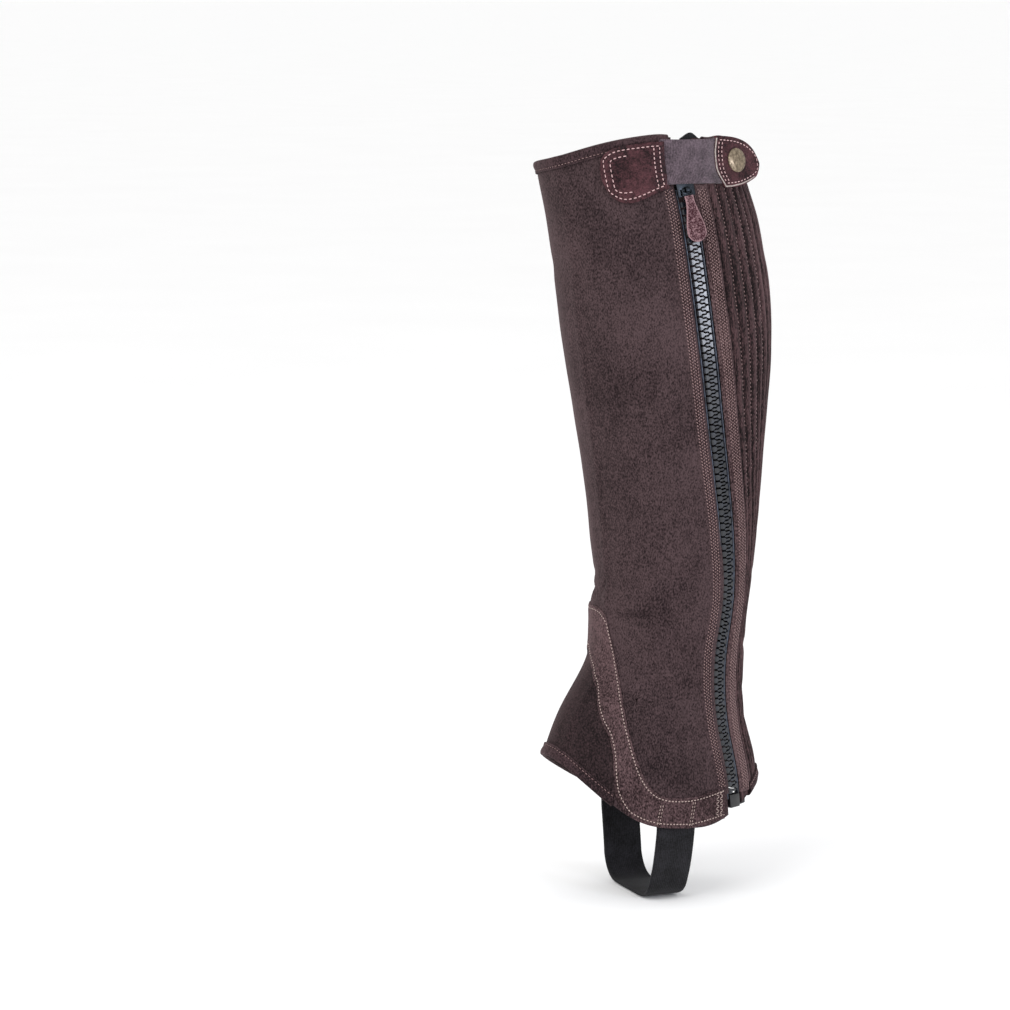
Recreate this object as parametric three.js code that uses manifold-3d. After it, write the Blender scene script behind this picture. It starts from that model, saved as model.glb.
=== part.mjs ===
// One riding half chap for the left leg, as worn: a hollow suede sleeve from below the knee to the instep.
// Millimetres, +Z up the leg. The wearer faces -Y and the outside of the leg is +X.
// The origin is the middle of the leg hollow at the calf.
import * as THREE from 'three';
import { mergeVertices } from 'three/addons/utils/BufferGeometryUtils.js';
import Module from 'manifold-3d';

// ---------- driving dimensions ----------

const suede = 1.6;          // wall of the body panels
const seamGap = 0.3;        // between pieces sewn edge to edge or on top of each other
const layGap = 0.75;        // between a panel and what lies on it
const patchGap = 1;         // the large patch bridges the panel a little
const trim = 1.1;           // bindings, strips and the patch
const lean = -0.085;        // sideways shift of the leg for each millimetre of height
const shinSqueeze = 0.10;   // how much narrower the shin side is than an ellipse
const rim = { height: 126.5, swing: 13, highSide: 15 };  // top edge, highest beside the zip
const rimDips = [
  { angle: -70, reach: 33, drop: 4 },   // over the shin
  { angle: 5, reach: 9, drop: 3 },      // at the head of the zip
  { angle: 75, reach: 32, drop: 14 },   // over the stretch gusset, behind the snap tab
];
const bindingDepth = 6.5;
const chainWidth = 9.4;
const chainTop = 98.7;       // the chain closes under the slider
const chainFoot = -289;
const zipGapFront = 6.5;    // zip centre to the panel edge
const zipGapBack = 7;
const frontFacing = 8.5;    // width of the stitched edge in front of the zip
const backFacing = 10;      // width of the strip behind the zip
const ribCount = 10;
const ribHeight = 1.5;
const sliderSize = { width: 12.2, web: 8.4, length: 14, gap: 5, plate: 1.5, height: 106.5, out: 0.2 };
const crown = { width: 3, foot: -4.8, top: -1, leg: 1, rise: 3.3, taper: 0.6 };  // below the elastic
const tapeWidth = 16;        // zip centre to the hidden edge of a tape

// The leg under the suede, one row for each level: y of the middle, half widths to the side and
// to front and back, and the angles of the zip and of the seam behind the calf.
// Angles turn about +Z from the outside of the leg: 90 is the back, -90 the shin.
const levelStep = 40;
const levels = [
  { height: 160, y: -14, side: 57, depth: 67, zip: 4, seam: 93 },
  { height: 120, y: -15.5, side: 59, depth: 66.5, zip: 2.3, seam: 93 },
  { height: 80, y: -7, side: 61.5, depth: 68.5, zip: 0, seam: 93 },
  { height: 40, y: -1.5, side: 63, depth: 69.5, zip: -1, seam: 94 },
  { height: 0, y: 1, side: 63, depth: 67.5, zip: 0.5, seam: 94 },
  { height: -40, y: 1.5, side: 61, depth: 62.5, zip: 4, seam: 94 },
  { height: -80, y: 2, side: 57.5, depth: 57.5, zip: 9, seam: 94 },
  { height: -120, y: 1.5, side: 53.5, depth: 53.5, zip: 15.8, seam: 94 },
  { height: -160, y: -1.5, side: 50, depth: 50.5, zip: 22.5, seam: 98 },
  { height: -200, y: -6, side: 47.5, depth: 50, zip: 20.5, seam: 103 },
  { height: -240, y: -18.5, side: 47, depth: 62, zip: 31, seam: 107 },
  { height: -280, y: -23, side: 48, depth: 74.5, zip: 35.7, seam: 111 },
  { height: -320, y: -32.5, side: 50, depth: 80, zip: 44, seam: 113 },
  { height: -360, y: -38.5, side: 52, depth: 83, zip: 49, seam: 114 },
];

// Soft folds of the suede: where, how far they reach each way, their slope and how deep they are.
const folds = [
  { angle: -88, height: -152, around: 30, up: 9, slope: 0.05, depth: -2.2 },
  { angle: -92, height: -182, around: 34, up: 14, slope: 0, depth: 1.6 },
  { angle: -48, height: -169, around: 20, up: 3.5, slope: 0.06, depth: -1.0 },
  { angle: -93, height: 52, around: 20, up: 7, slope: 0, depth: -1.3 },
  { angle: -140, height: -158, around: 22, up: 8, slope: -0.1, depth: -1.4 },
  { angle: 84, height: -176, around: 20, up: 10, slope: 0, depth: -1.3 },
  { angle: -205, height: -185, around: 26, up: 8, slope: 0.08, depth: -1.1 },
  { angle: -30, height: -205, around: 16, up: 9, slope: 0.1, depth: -0.9 },
];

// The hem is a level line with three waves on it: lowest at both ankles, highest at the instep.
const hemLevel = -289;
const hemWaves = [
  { turns: 1, cos: -0.5, sin: -15 },
  { turns: 2, cos: -15.5, sin: 3.5 },
  { turns: 3, cos: -3, sin: -3 },
];
const hemBump = { angle: 6, reach: 15, rise: 3.4 };   // the hem rides up in front of the zip's foot

// Lower edge of the main panel, from the outer hem over the instep to the inner hem.
// The instep gusset hangs below it.
const notch = [
  { angle: -24, height: -400 }, { angle: -30, height: -400 }, { angle: -32.5, height: -270 },
  { angle: -37, height: -250 }, { angle: -43, height: -238 }, { angle: -52, height: -228 },
  { angle: -62, height: -217 }, { angle: -71, height: -210 }, { angle: -79, height: -204 },
  { angle: -87, height: -199 }, { angle: -95, height: -194.5 }, { angle: -103, height: -192 },
  { angle: -111, height: -193 }, { angle: -119, height: -195 }, { angle: -127, height: -200 },
  { angle: -135, height: -205.5 }, { angle: -143, height: -217 }, { angle: -150, height: -236 },
  { angle: -156, height: -262 },
  { angle: -161, height: -400 }, { angle: -170, height: -400 },
];

// Strips that cover the gusset seams, a row for each cross line: rear edge, then front edge.
// A front height below the hem is brought up to the hem.
const outerStrip = [
  { rear: -103.7, rearHeight: -169, front: -103.7, frontHeight: -197 },
  { rear: -92, rearHeight: -168, front: -92, frontHeight: -203 },
  { rear: -81, rearHeight: -170, front: -82, frontHeight: -208 },
  { rear: -74, rearHeight: -174, front: -73, frontHeight: -214 },
  { rear: -69, rearHeight: -186, front: -65, frontHeight: -220 },
  { rear: -60, rearHeight: -201, front: -57, frontHeight: -229 },
  { rear: -47, rearHeight: -217, front: -48, frontHeight: -239 },
  { rear: -37.5, rearHeight: -230, front: -41, frontHeight: -247 },
  { rear: -30, rearHeight: -243, front: -36, frontHeight: -259 },
  { rear: -24, rearHeight: -257, front: -33, frontHeight: -274 },
  { rear: -18.5, rearHeight: -270, front: -30, frontHeight: -284 },
  { rear: -13, rearHeight: -279, front: -22, frontHeight: -400 },
  { rear: -7, rearHeight: -284, front: -13, frontHeight: -400 },
  { rear: 1, rearHeight: -286.3, front: -3, frontHeight: -400 },
  { rear: 12, rearHeight: -286.5, front: 10, frontHeight: -400 },
  { rear: 28.5, rearHeight: -283, front: 31.5, frontHeight: -400 },
];
const innerStrip = [
  { rear: -104.5, rearHeight: -169, front: -104.5, frontHeight: -197 },
  { rear: -117, rearHeight: -168.5, front: -115, frontHeight: -200 },
  { rear: -129, rearHeight: -169, front: -124, frontHeight: -205 },
  { rear: -140, rearHeight: -171, front: -131, frontHeight: -211 },
  { rear: -149, rearHeight: -179, front: -137, frontHeight: -220 },
  { rear: -154.5, rearHeight: -193, front: -141, frontHeight: -231 },
  { rear: -159, rearHeight: -210, front: -145, frontHeight: -246 },
  { rear: -164, rearHeight: -231, front: -149, frontHeight: -263 },
  { rear: -169, rearHeight: -254, front: -153, frontHeight: -276 },
  { rear: -174, rearHeight: -278, front: -158, frontHeight: -400 },
  { rear: -178, rearHeight: -298, front: -168, frontHeight: -400 },
];

// The grip patch on the inside of the calf: a drop with a narrow tail, one row for each height.
const patch = [
  { height: 83, front: -211, rear: -219 }, { height: 80, front: -203, rear: -228 },
  { height: 75, front: -192, rear: -235 }, { height: 66, front: -180, rear: -239 },
  { height: 54, front: -170, rear: -241 }, { height: 36, front: -162.5, rear: -245 },
  { height: 12, front: -162, rear: -249 }, { height: -12, front: -167, rear: -251 },
  { height: -36, front: -173, rear: -252 }, { height: -60, front: -185.5, rear: -253 },
  { height: -84, front: -199, rear: -255 }, { height: -104, front: -210, rear: -256 },
  { height: -122, front: -211, rear: -256 }, { height: -138, front: -212.5, rear: -254 },
  { height: -152, front: -216, rear: -248 }, { height: -162, front: -219, rear: -236 },
];

// The two leather tabs of the top closure, one row for each cross line.
const closureTab = [
  { angle: -7, top: 135, foot: 105.5 }, { angle: -14, top: 134.5, foot: 102.5 },
  { angle: -21, top: 133.5, foot: 99 }, { angle: -27, top: 132.5, foot: 96.5 },
  { angle: -32.5, top: 131, foot: 96 }, { angle: -37, top: 128, foot: 98.5 },
  { angle: -40, top: 124, foot: 103 }, { angle: -41.6, top: 118, foot: 110 },
];
const snapTab = [
  { along: 0, top: 138, foot: 105 }, { along: 10, top: 137.3, foot: 105.2 },
  { along: 19, top: 136, foot: 106.3 }, { along: 28, top: 133.2, foot: 108.5 },
  { along: 35, top: 129, foot: 111 }, { along: 39, top: 124, foot: 114.5 },
  { along: 41, top: 120, foot: 118 },
];
const snapSlant = 4.2;       // the edge by the elastic leans this far back at its foot
const tabThickness = 2.2;
const tabOut = 3.85;         // the tabs lie over the top binding
const snapStart = 23;        // angle where the snap tab is sewn to the elastic
const snapHeading = 19;      // the stiff tab leaves the leg nearly straight
const snapTurn = 7;
const elastic = { thickness: 1.3, out: 4.75, top: 136.5, foot: 107.7 };
const snap = { along: 18.5, height: 121.5, radius: 7.5, dome: 2.2, reach: 2.4 };

// The pull: a metal ring in the slider's crown and a leather drop below it.
const pull = {
  ring: { width: 8, length: 4.25, wire: 1.1, thickness: 1.1 },
  tag: [
    { down: 0, half: 3.2 }, { down: 5, half: 3.3 }, { down: 10, half: 4.2 }, { down: 15, half: 5.4 },
    { down: 20, half: 6.4 }, { down: 24, half: 6.6 }, { down: 28, half: 5 }, { down: 30, half: 0 },
  ],
  tagThickness: 1.6,
  out: 5.4,
  drop: 2.9,                 // from the slider's middle to the hinge
  press: 2,
  swing: 1,                  // it hangs almost in line with the zip
};

// The strap goes under the arch of a boot, from inside the hem to inside the hem.
const strap = {
  width: 27, thickness: 1.5, y: -23, foot: -356, tuck: -294,
  middle: 25, solehalf: 33, clearOuter: 2.6, clearInner: 4.8,
};

// ---------- materials ----------

function finish(color, roughness, metalness = 0) {
  return new THREE.MeshStandardMaterial({ color, roughness, metalness });
}
const finishes = {
  suede: finish(0x45363a, 0.95),
  darkSuede: finish(0x382c2f, 0.95),
  paleSuede: finish(0x66504a, 0.92),
  leather: finish(0x4a2c2f, 0.5),
  elastic: finish(0x685a60, 0.85),
  web: finish(0x17181a, 0.8),
  tape: finish(0x1b1d21, 0.85),
  teeth: finish(0x2b2f36, 0.3),
  brass: finish(0x8a7a56, 0.4, 1),
  darkMetal: finish(0x4a4f57, 0.3, 1),
};

// ---------- the leg surface ----------

const radians = THREE.MathUtils.degToRad;

/** A value or a place between rows, on a smooth curve through all of them. */
function blendRows(rows, names, place) {
  const last = rows.length - 1;
  const start = Math.min(Math.max(Math.floor(place), 0), last - 1);
  const t = place - start;
  const found = {};
  for (const name of names) {
    const b = rows[start][name];
    const c = rows[start + 1][name];
    const a = start > 0 ? rows[start - 1][name] : 2 * b - c;
    const d = start + 2 <= last ? rows[start + 2][name] : 2 * c - b;
    const bend = (2 * a - 5 * b + 4 * c - d) * t * t + (3 * b - a - 3 * c + d) * t * t * t;
    found[name] = 0.5 * (2 * b + (c - a) * t + bend);
  }
  return found;
}

function levelAt(height) {
  const names = ['y', 'side', 'depth', 'zip', 'seam'];
  return blendRows(levels, names, (levels[0].height - height) / levelStep);
}

function foldAt(angle, height) {
  let out = 0;
  for (const fold of folds) {
    const turn = turnFrom(fold.angle, angle);
    const rise = height - fold.height - fold.slope * turn;
    out += fold.depth * Math.exp(-((turn / fold.around) ** 2) - (rise / fold.up) ** 2);
  }
  return out;
}

/** A point on the leg at an angle and a height, moved out along the level normal. */
function legPoint(angle, height, out = 0) {
  const level = levelAt(height);
  const cos = Math.cos(radians(angle));
  const sin = Math.sin(radians(angle));
  const squeeze = sin < 0 ? shinSqueeze : 0;
  const narrow = 1 - squeeze * sin * sin;
  const across = -level.side * sin * (narrow + 2 * squeeze * cos * cos);
  const along = level.depth * cos;
  const length = Math.hypot(across, along);
  const move = out + foldAt(angle, height);
  return new THREE.Vector3(
    lean * height + level.side * cos * narrow + (move * along) / length,
    level.y + level.depth * sin - (move * across) / length,
    height,
  );
}

/** The angle reached by going a distance around the leg at one height. */
function around(angle, height, distance) {
  const reach = legPoint(angle + 1, height).distanceTo(legPoint(angle - 1, height)) / 2;
  const middle = angle + distance / reach / 2;
  const speed = legPoint(middle + 1, height).distanceTo(legPoint(middle - 1, height)) / 2;
  return angle + distance / speed;
}

/** The angle from one direction to another, from -180 to 180. */
const turnFrom = (from, angle) => ((angle - from + 540) % 360) - 180;

function rimAt(angle) {
  let height = rim.height + rim.swing * Math.cos(radians(angle - rim.highSide));
  for (const dip of rimDips) height -= dip.drop * Math.exp(-((turnFrom(dip.angle, angle) / dip.reach) ** 2));
  return height;
}

function hemAt(angle) {
  let height = hemLevel + hemBump.rise * Math.exp(-((turnFrom(hemBump.angle, angle) / hemBump.reach) ** 2));
  for (const wave of hemWaves) {
    const turn = radians(angle * wave.turns);
    height += wave.cos * Math.cos(turn) + wave.sin * Math.sin(turn);
  }
  return height;
}

const mix = THREE.MathUtils.lerp;

/** A row of a table, or one straight between two rows. */
function mixRows(rows, place) {
  const start = Math.min(Math.floor(place), rows.length - 2);
  const found = {};
  for (const name of Object.keys(rows[start])) {
    found[name] = mix(rows[start][name], rows[start + 1][name], place - start);
  }
  return found;
}

// ---------- closed solids ----------

function closedMesh(name, points, faces, material) {
  const geometry = new THREE.BufferGeometry();
  const flat = points.flatMap((p) => [p.x, p.y, p.z]);
  geometry.setAttribute('position', new THREE.Float32BufferAttribute(flat, 3));
  let volume = 0;
  for (const [a, b, c] of faces) {
    volume += points[a].dot(new THREE.Vector3().crossVectors(points[b], points[c]));
  }
  const outward = volume > 0 ? faces : faces.map(([a, b, c]) => [a, c, b]);
  geometry.setIndex(outward.flat());
  geometry.computeVertexNormals();
  const mesh = new THREE.Mesh(geometry, material);
  mesh.name = name;
  return mesh;
}

/** A wall of cloth: a grid of points with an inside and an outside, closed round its edge. */
function wall(name, material, rowCount, columnCount, pointAt) {
  const points = [];
  for (const side of [0, 1]) {
    for (let row = 0; row <= rowCount; row += 1) {
      for (let column = 0; column <= columnCount; column += 1) {
        points.push(pointAt(row, column, side));
      }
    }
  }
  const width = columnCount + 1;
  const inner = (row, column) => row * width + column;
  const outer = (row, column) => (rowCount + 1) * width + inner(row, column);
  const faces = [];
  const quad = (a, b, c, d) => faces.push([a, b, c], [a, c, d]);
  for (let row = 0; row < rowCount; row += 1) {
    for (let column = 0; column < columnCount; column += 1) {
      quad(outer(row, column), outer(row + 1, column), outer(row + 1, column + 1), outer(row, column + 1));
      quad(inner(row, column), inner(row, column + 1), inner(row + 1, column + 1), inner(row + 1, column));
    }
    quad(outer(row, 0), inner(row, 0), inner(row + 1, 0), outer(row + 1, 0));
    const end = columnCount;
    quad(outer(row, end), outer(row + 1, end), inner(row + 1, end), inner(row, end));
  }
  for (let column = 0; column < columnCount; column += 1) {
    quad(outer(0, column), outer(0, column + 1), inner(0, column + 1), inner(0, column));
    const foot = rowCount;
    quad(outer(foot, column), inner(foot, column), inner(foot, column + 1), outer(foot, column + 1));
  }
  return closedMesh(name, points, faces, material);
}

/** A closed section carried along stations, with flat ends. */
function sweep(name, material, section, stationCount, pointAt) {
  const points = [];
  for (let station = 0; station <= stationCount; station += 1) {
    for (const corner of section) points.push(pointAt(station, corner));
  }
  const size = section.length;
  const faces = [];
  for (let station = 0; station < stationCount; station += 1) {
    for (let corner = 0; corner < size; corner += 1) {
      const next = (corner + 1) % size;
      const a = station * size + corner;
      const b = station * size + next;
      faces.push([a, b, b + size], [a, b + size, a + size]);
    }
  }
  const outline = section.map((corner) => new THREE.Vector2(corner.out, corner.up));
  const last = stationCount * size;
  for (const [a, b, c] of THREE.ShapeUtils.triangulateShape(outline, [])) {
    faces.push(THREE.ShapeUtils.isClockWise(outline) ? [a, b, c] : [a, c, b]);
    faces.push(THREE.ShapeUtils.isClockWise(outline) ? [last + a, last + c, last + b] : [last + a, last + b, last + c]);
  }
  return closedMesh(name, points, faces, material);
}

const layer = (from, thickness) => (side) => from + side * thickness;
const panelLayer = layer(0, suede);
const trimLayer = layer(suede + layGap, trim);
const patchLayer = layer(suede + patchGap, trim);

// ---------- body panels ----------

const calfRows = 14;        // down to the ankle
const ankleRows = 8;        // from there to the lower edge
const panelRows = calfRows + ankleRows;
const ankle = -178;
const sideColumns = 3;
const backColumns = 12;

function panelRow(angle, foot, row) {
  if (row <= calfRows) return mix(rimAt(angle), ankle, row / calfRows);
  return mix(ankle, foot, (row - calfRows) / ankleRows);
}

/** Even rows, with one just inside each binding. */
function boundRow(top, foot, row, rows) {
  if (row === 0) return top;
  if (row === rows) return foot;
  return mix(top - bindingDepth - 1, foot + bindingDepth + 1, (row - 1) / (rows - 2));
}

function panelEdge(height) {
  return around(levelAt(height).zip, height, -zipGapFront);
}

function panelSeam(height) {
  return around(levelAt(height).seam - 360, height, seamGap);
}

function mainPanel() {
  const fixed = notch.map((row) => row.angle);
  const columns = sideColumns + fixed.length - 1 + backColumns;
  return wall('main_panel', finishes.suede, panelRows, columns, (row, column, side) => {
    let angle = 0;
    let height = 0;
    if (column < sideColumns) {
      height = panelRow(0, hemAt(20), row);
      for (let pass = 0; pass < 3; pass += 1) {
        angle = mix(panelEdge(height), fixed[0], column / sideColumns);
        height = panelRow(angle, hemAt(angle), row);
      }
    } else if (column < sideColumns + fixed.length) {
      angle = fixed[column - sideColumns];
      const foot = Math.max(hemAt(angle), notch[column - sideColumns].height);
      height = panelRow(angle, foot, row);
    } else {
      const share = (column - sideColumns - fixed.length + 1) / backColumns;
      height = panelRow(180, hemAt(180), row);
      for (let pass = 0; pass < 3; pass += 1) {
        angle = mix(fixed[fixed.length - 1], panelSeam(height), share);
        height = panelRow(angle, hemAt(angle), row);
      }
    }
    return legPoint(angle, height, panelLayer(side));
  });
}

/** The tongue over the instep, between the two strips. */
function instepGusset() {
  const rows = 6;
  const inside = notch.slice(1, -1);
  const first = { angle: inside[0].angle - 0.8, height: hemAt(inside[0].angle) + 3 };
  const end = inside[inside.length - 1].angle;
  const last = { angle: end + 0.8, height: hemAt(end) + 3 };
  const top = [first, ...inside.slice(1, -1), last];
  return wall('instep_gusset', finishes.darkSuede, rows, top.length - 1, (row, column, side) => {
    const here = top[column];
    const before = top[Math.max(column - 1, 0)];
    const after = top[Math.min(column + 1, top.length - 1)];
    const run = legPoint(before.angle, here.height).distanceTo(legPoint(after.angle, here.height));
    const steep = (after.height - before.height) / run;
    const edge = here.height - seamGap * Math.hypot(1, steep) * 1.6;
    const height = mix(edge, hemAt(here.angle), row / rows);
    return legPoint(here.angle, height, panelLayer(side));
  });
}

/** The stretch gusset behind the zip: upright ribs, flat where other pieces are sewn on it. */
function ribGusset() {
  const rows = 20;
  const flatFront = 2;
  const flatBack = 2;
  const columns = flatFront + ribCount * 2 + flatBack;
  return wall('rib_gusset', finishes.darkSuede, rows, columns, (row, column, side) => {
    let height = boundRow(rimAt(60), hemAt(70), row, rows);
    let angle = 0;
    const rib = column - flatFront;
    for (let pass = 0; pass < 3; pass += 1) {
      const zip = levelAt(height).zip;
      const edge = around(zip, height, zipGapBack + 0.5);
      const start = around(zip, height, zipGapBack + backFacing + 0.5);
      const seam = around(levelAt(height).seam, height, -seamGap);
      const end = around(levelAt(height).seam, height, -8);
      if (rib < 0) angle = mix(edge, start, column / flatFront);
      else if (rib > ribCount * 2) angle = mix(end, seam, (rib - ribCount * 2) / flatBack);
      else angle = mix(start, end, rib / (ribCount * 2));
      height = boundRow(rimAt(angle), hemAt(angle), row, rows);
    }
    const ribbed = rib > 0 && rib < ribCount * 2 && row > 1 && row < rows - 1;
    const wave = ribbed ? (rib % 2) * ribHeight - ribHeight / 2 : 0;
    return legPoint(angle, height, panelLayer(side) + wave);
  });
}

// ---------- strips, patch and facings ----------

function seamStrip(name, rows, lift) {
  const across = 4;
  const steps = 2;
  return wall(name, finishes.paleSuede, (rows.length - 1) * steps, across, (row, column, side) => {
    const line = mixRows(rows, row / steps);
    const frontHeight = Math.max(line.frontHeight, hemAt(line.front) + lift);
    const rearHeight = Math.max(line.rearHeight, hemAt(line.rear) + lift);
    const share = column / across;
    const angle = mix(line.rear, line.front, share);
    return legPoint(angle, mix(rearHeight, frontHeight, share), trimLayer(side));
  });
}

function gripPatch() {
  const across = 10;
  const rows = patch.length - 1;
  return wall('grip_patch', finishes.darkSuede, rows, across, (row, column, side) => {
    const line = patch[row];
    return legPoint(mix(line.front, line.rear, column / across), line.height, patchLayer(side));
  });
}

/** A strip that follows an upright seam, from one distance behind it to another. */
function uprightStrip(name, material, seamName, from, to, widen, foot) {
  const rows = 22;
  return wall(name, material, rows, 2, (row, column, side) => {
    const topHeight = rimAt(levelAt(120)[seamName]) - bindingDepth - 1;
    let height = mix(topHeight, foot, row / rows);
    const level = levelAt(height);
    const spread = 1 + (widen * row) / rows;
    const angle = around(level[seamName], height, mix(from, to, column / 2) * spread);
    if (row === rows) height = Math.max(foot, hemAt(angle) + bindingDepth + 1);
    return legPoint(angle, height, trimLayer(side));
  });
}

// ---------- bindings: folded over the edge, a hook section carried round it ----------

function bindingSection(direction) {
  const outside = suede + layGap;
  const inside = -layGap;
  const cover = seamGap + trim;
  return [
    { out: outside + trim, up: -direction * bindingDepth },
    { out: outside + trim, up: direction * cover },
    { out: inside - trim, up: direction * cover },
    { out: inside - trim, up: -direction * bindingDepth },
    { out: inside, up: -direction * bindingDepth },
    { out: inside, up: direction * seamGap },
    { out: outside, up: direction * seamGap },
    { out: outside, up: -direction * bindingDepth },
  ];
}

function binding(name, edgeAt, direction, fromAngle, toAngle, stations) {
  return sweep(name, finishes.paleSuede, bindingSection(direction), stations, (station, corner) => {
    const angle = mix(fromAngle, toAngle, station / stations);
    return legPoint(angle, edgeAt(angle) + corner.up, corner.out);
  });
}

// ---------- zip ----------

const zipRows = 24;

function zipBand(name, material, rows, from, to, inner, outer, top, foot) {
  return wall(name, material, rows, 1, (row, column, side) => {
    const height = mix(top, foot, row / rows);
    const angle = around(levelAt(height).zip, height, mix(from, to, column));
    return legPoint(angle, height, mix(inner, outer, side));
  });
}

/** A group whose X runs round the leg, Y up the zip and Z out of it. */
function zipFrame(height, out) {
  const zip = (level) => legPoint(levelAt(level).zip, level, out);
  const up = zip(height + 2).sub(zip(height - 2)).normalize();
  const beside = legPoint(levelAt(height).zip + 1, height, out);
  const round = beside.sub(zip(height)).normalize();
  const outward = new THREE.Vector3().crossVectors(round, up).normalize();
  round.crossVectors(up, outward);
  const frame = new THREE.Group();
  frame.matrixAutoUpdate = true;
  frame.quaternion.setFromRotationMatrix(new THREE.Matrix4().makeBasis(round, up, outward));
  frame.position.copy(zip(height));
  return frame;
}

const wasm = await Module();
wasm.setup();

function solidOf(geometry) {
  const bare = geometry.index ? geometry.toNonIndexed() : geometry;
  bare.deleteAttribute('normal');
  bare.deleteAttribute('uv');
  const merged = mergeVertices(bare, 1e-4);
  return new wasm.Manifold(new wasm.Mesh({
    numProp: 3,
    vertProperties: merged.attributes.position.array,
    triVerts: new Uint32Array(merged.index.array),
  }));
}

function meshOf(name, solid, material) {
  const found = solid.getMesh();
  const geometry = new THREE.BufferGeometry();
  geometry.setAttribute('position', new THREE.BufferAttribute(found.vertProperties, 3));
  geometry.setIndex(new THREE.BufferAttribute(found.triVerts, 1));
  geometry.computeVertexNormals();
  const mesh = new THREE.Mesh(geometry, material);
  mesh.name = name;
  return mesh;
}

function outline(corners) {
  return new THREE.Shape(corners.map(([x, y]) => new THREE.Vector2(x, y)));
}

/** The slider: two plates held apart by a web, and a crown that the pull hangs in. */
function slider() {
  const half = sliderSize.width / 2;
  const web = sliderSize.web / 2;
  const inner = sliderSize.gap / 2;
  const outer = inner + sliderSize.plate;
  const flanges = outline([
    [-half, inner], [-web, inner], [-web, -inner], [-half, -inner], [-half, -outer], [half, -outer],
    [half, -inner], [web, -inner], [web, inner], [half, inner], [half, outer], [-half, outer],
  ]);
  const body = new THREE.ExtrudeGeometry(flanges, { depth: sliderSize.length, bevelEnabled: false });
  body.rotateX(Math.PI / 2).translate(0, sliderSize.length / 2, 0);
  const { foot, top, leg, rise, taper } = crown;
  const arch = outline([[foot, outer - 0.5], [top, outer - 0.5], [top - taper, outer + rise], [foot + taper, outer + rise]]);
  arch.holes.push(outline([
    [foot + leg, outer + 0.5], [foot + leg, outer + rise - 1], [top - leg, outer + rise - 1], [top - leg, outer + 0.5],
  ]));
  const loop = new THREE.ExtrudeGeometry(arch, { depth: crown.width, bevelEnabled: false });
  loop.translate(0, 0, -crown.width / 2);
  loop.applyMatrix4(new THREE.Matrix4().makeBasis(
    new THREE.Vector3(0, 1, 0), new THREE.Vector3(0, 0, 1), new THREE.Vector3(1, 0, 0),
  ));
  return meshOf('zip_slider', solidOf(body).add(solidOf(loop)), finishes.darkMetal);
}

/** A flat piece cut to an outline, its middle level with the hinge. */
function flatPiece(name, shape, thickness, material) {
  const geometry = new THREE.ExtrudeGeometry(shape, { depth: thickness, bevelEnabled: false });
  geometry.translate(0, 0, -thickness / 2);
  const mesh = new THREE.Mesh(geometry, material);
  mesh.name = name;
  return mesh;
}

function pullRing() {
  const { width, length, wire } = pull.ring;
  const top = wire / 2;
  const shape = outline([[-width / 2, top], [width / 2, top], [width / 2, top - length], [-width / 2, top - length]]);
  const side = width / 2 - wire;
  shape.holes.push(outline([[-side, top - wire], [-side, top - length + wire], [side, top - length + wire], [side, top - wire]]));
  return flatPiece('zip_pull_ring', shape, pull.ring.thickness, finishes.darkMetal);
}

function pullTag() {
  const top = pull.ring.wire / 2 - pull.ring.length - seamGap;
  const right = pull.tag.map((row) => new THREE.Vector2(row.half, top - row.down));
  const left = pull.tag.slice(0, -1).reverse().map((row) => new THREE.Vector2(-row.half, top - row.down));
  const curve = new THREE.SplineCurve([...right, ...left]);
  const shape = new THREE.Shape(curve.getPoints(pull.tag.length * 4));
  return flatPiece('zip_pull_tag', shape, pull.tagThickness, finishes.leather);
}

/** The pull, hung in the crown and leaning a little towards the back of the leg. */
function zipPull() {
  const hang = new THREE.Group();
  hang.add(pullRing(), pullTag());
  hang.position.set(0, -pull.drop, pull.out);
  hang.rotation.set(radians(-pull.press), 0, radians(pull.swing), 'ZXY');
  const frame = zipFrame(sliderSize.height, sliderSize.out);
  frame.add(hang);
  return frame;
}

function zip() {
  const parts = new THREE.Group();
  const under = -seamGap * 2;
  const half = chainWidth / 2 + 0.45;
  const tapeTop = rimAt(5) + 3;
  const tapeFoot = -298;
  parts.add(zipBand('zip_tape_front', finishes.tape, zipRows, -half, -tapeWidth, under - 0.9, under, tapeTop, tapeFoot));
  parts.add(zipBand('zip_tape_back', finishes.tape, zipRows, half, tapeWidth, under - 0.9, under, tapeTop, tapeFoot));
  const edge = chainWidth / 2;
  parts.add(zipBand('zip_chain', finishes.teeth, zipRows, -edge, edge, -1.4, 2.2, chainTop, chainFoot));
  parts.add(zipBand('zip_box', finishes.teeth, 2, -edge, edge, -2.2, 2.6, chainFoot - seamGap, tapeFoot));
  const sliderPlace = zipFrame(sliderSize.height, sliderSize.out);
  sliderPlace.add(slider());
  parts.add(sliderPlace, zipPull());
  return parts;
}

// ---------- top closure ----------

function sewnTab() {
  const across = 3;
  return wall('closure_tab', finishes.leather, closureTab.length - 1, across, (row, column, side) => {
    const line = closureTab[row];
    const height = mix(line.top, line.foot, column / across);
    return legPoint(line.angle, height, tabOut + side * tabThickness);
  });
}

/** How far behind its start the snap tab's sewn edge is at a height. */
function snapEdge(height) {
  const { top, foot } = snapTab[0];
  return (snapSlant * (top - height)) / (top - foot);
}

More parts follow.
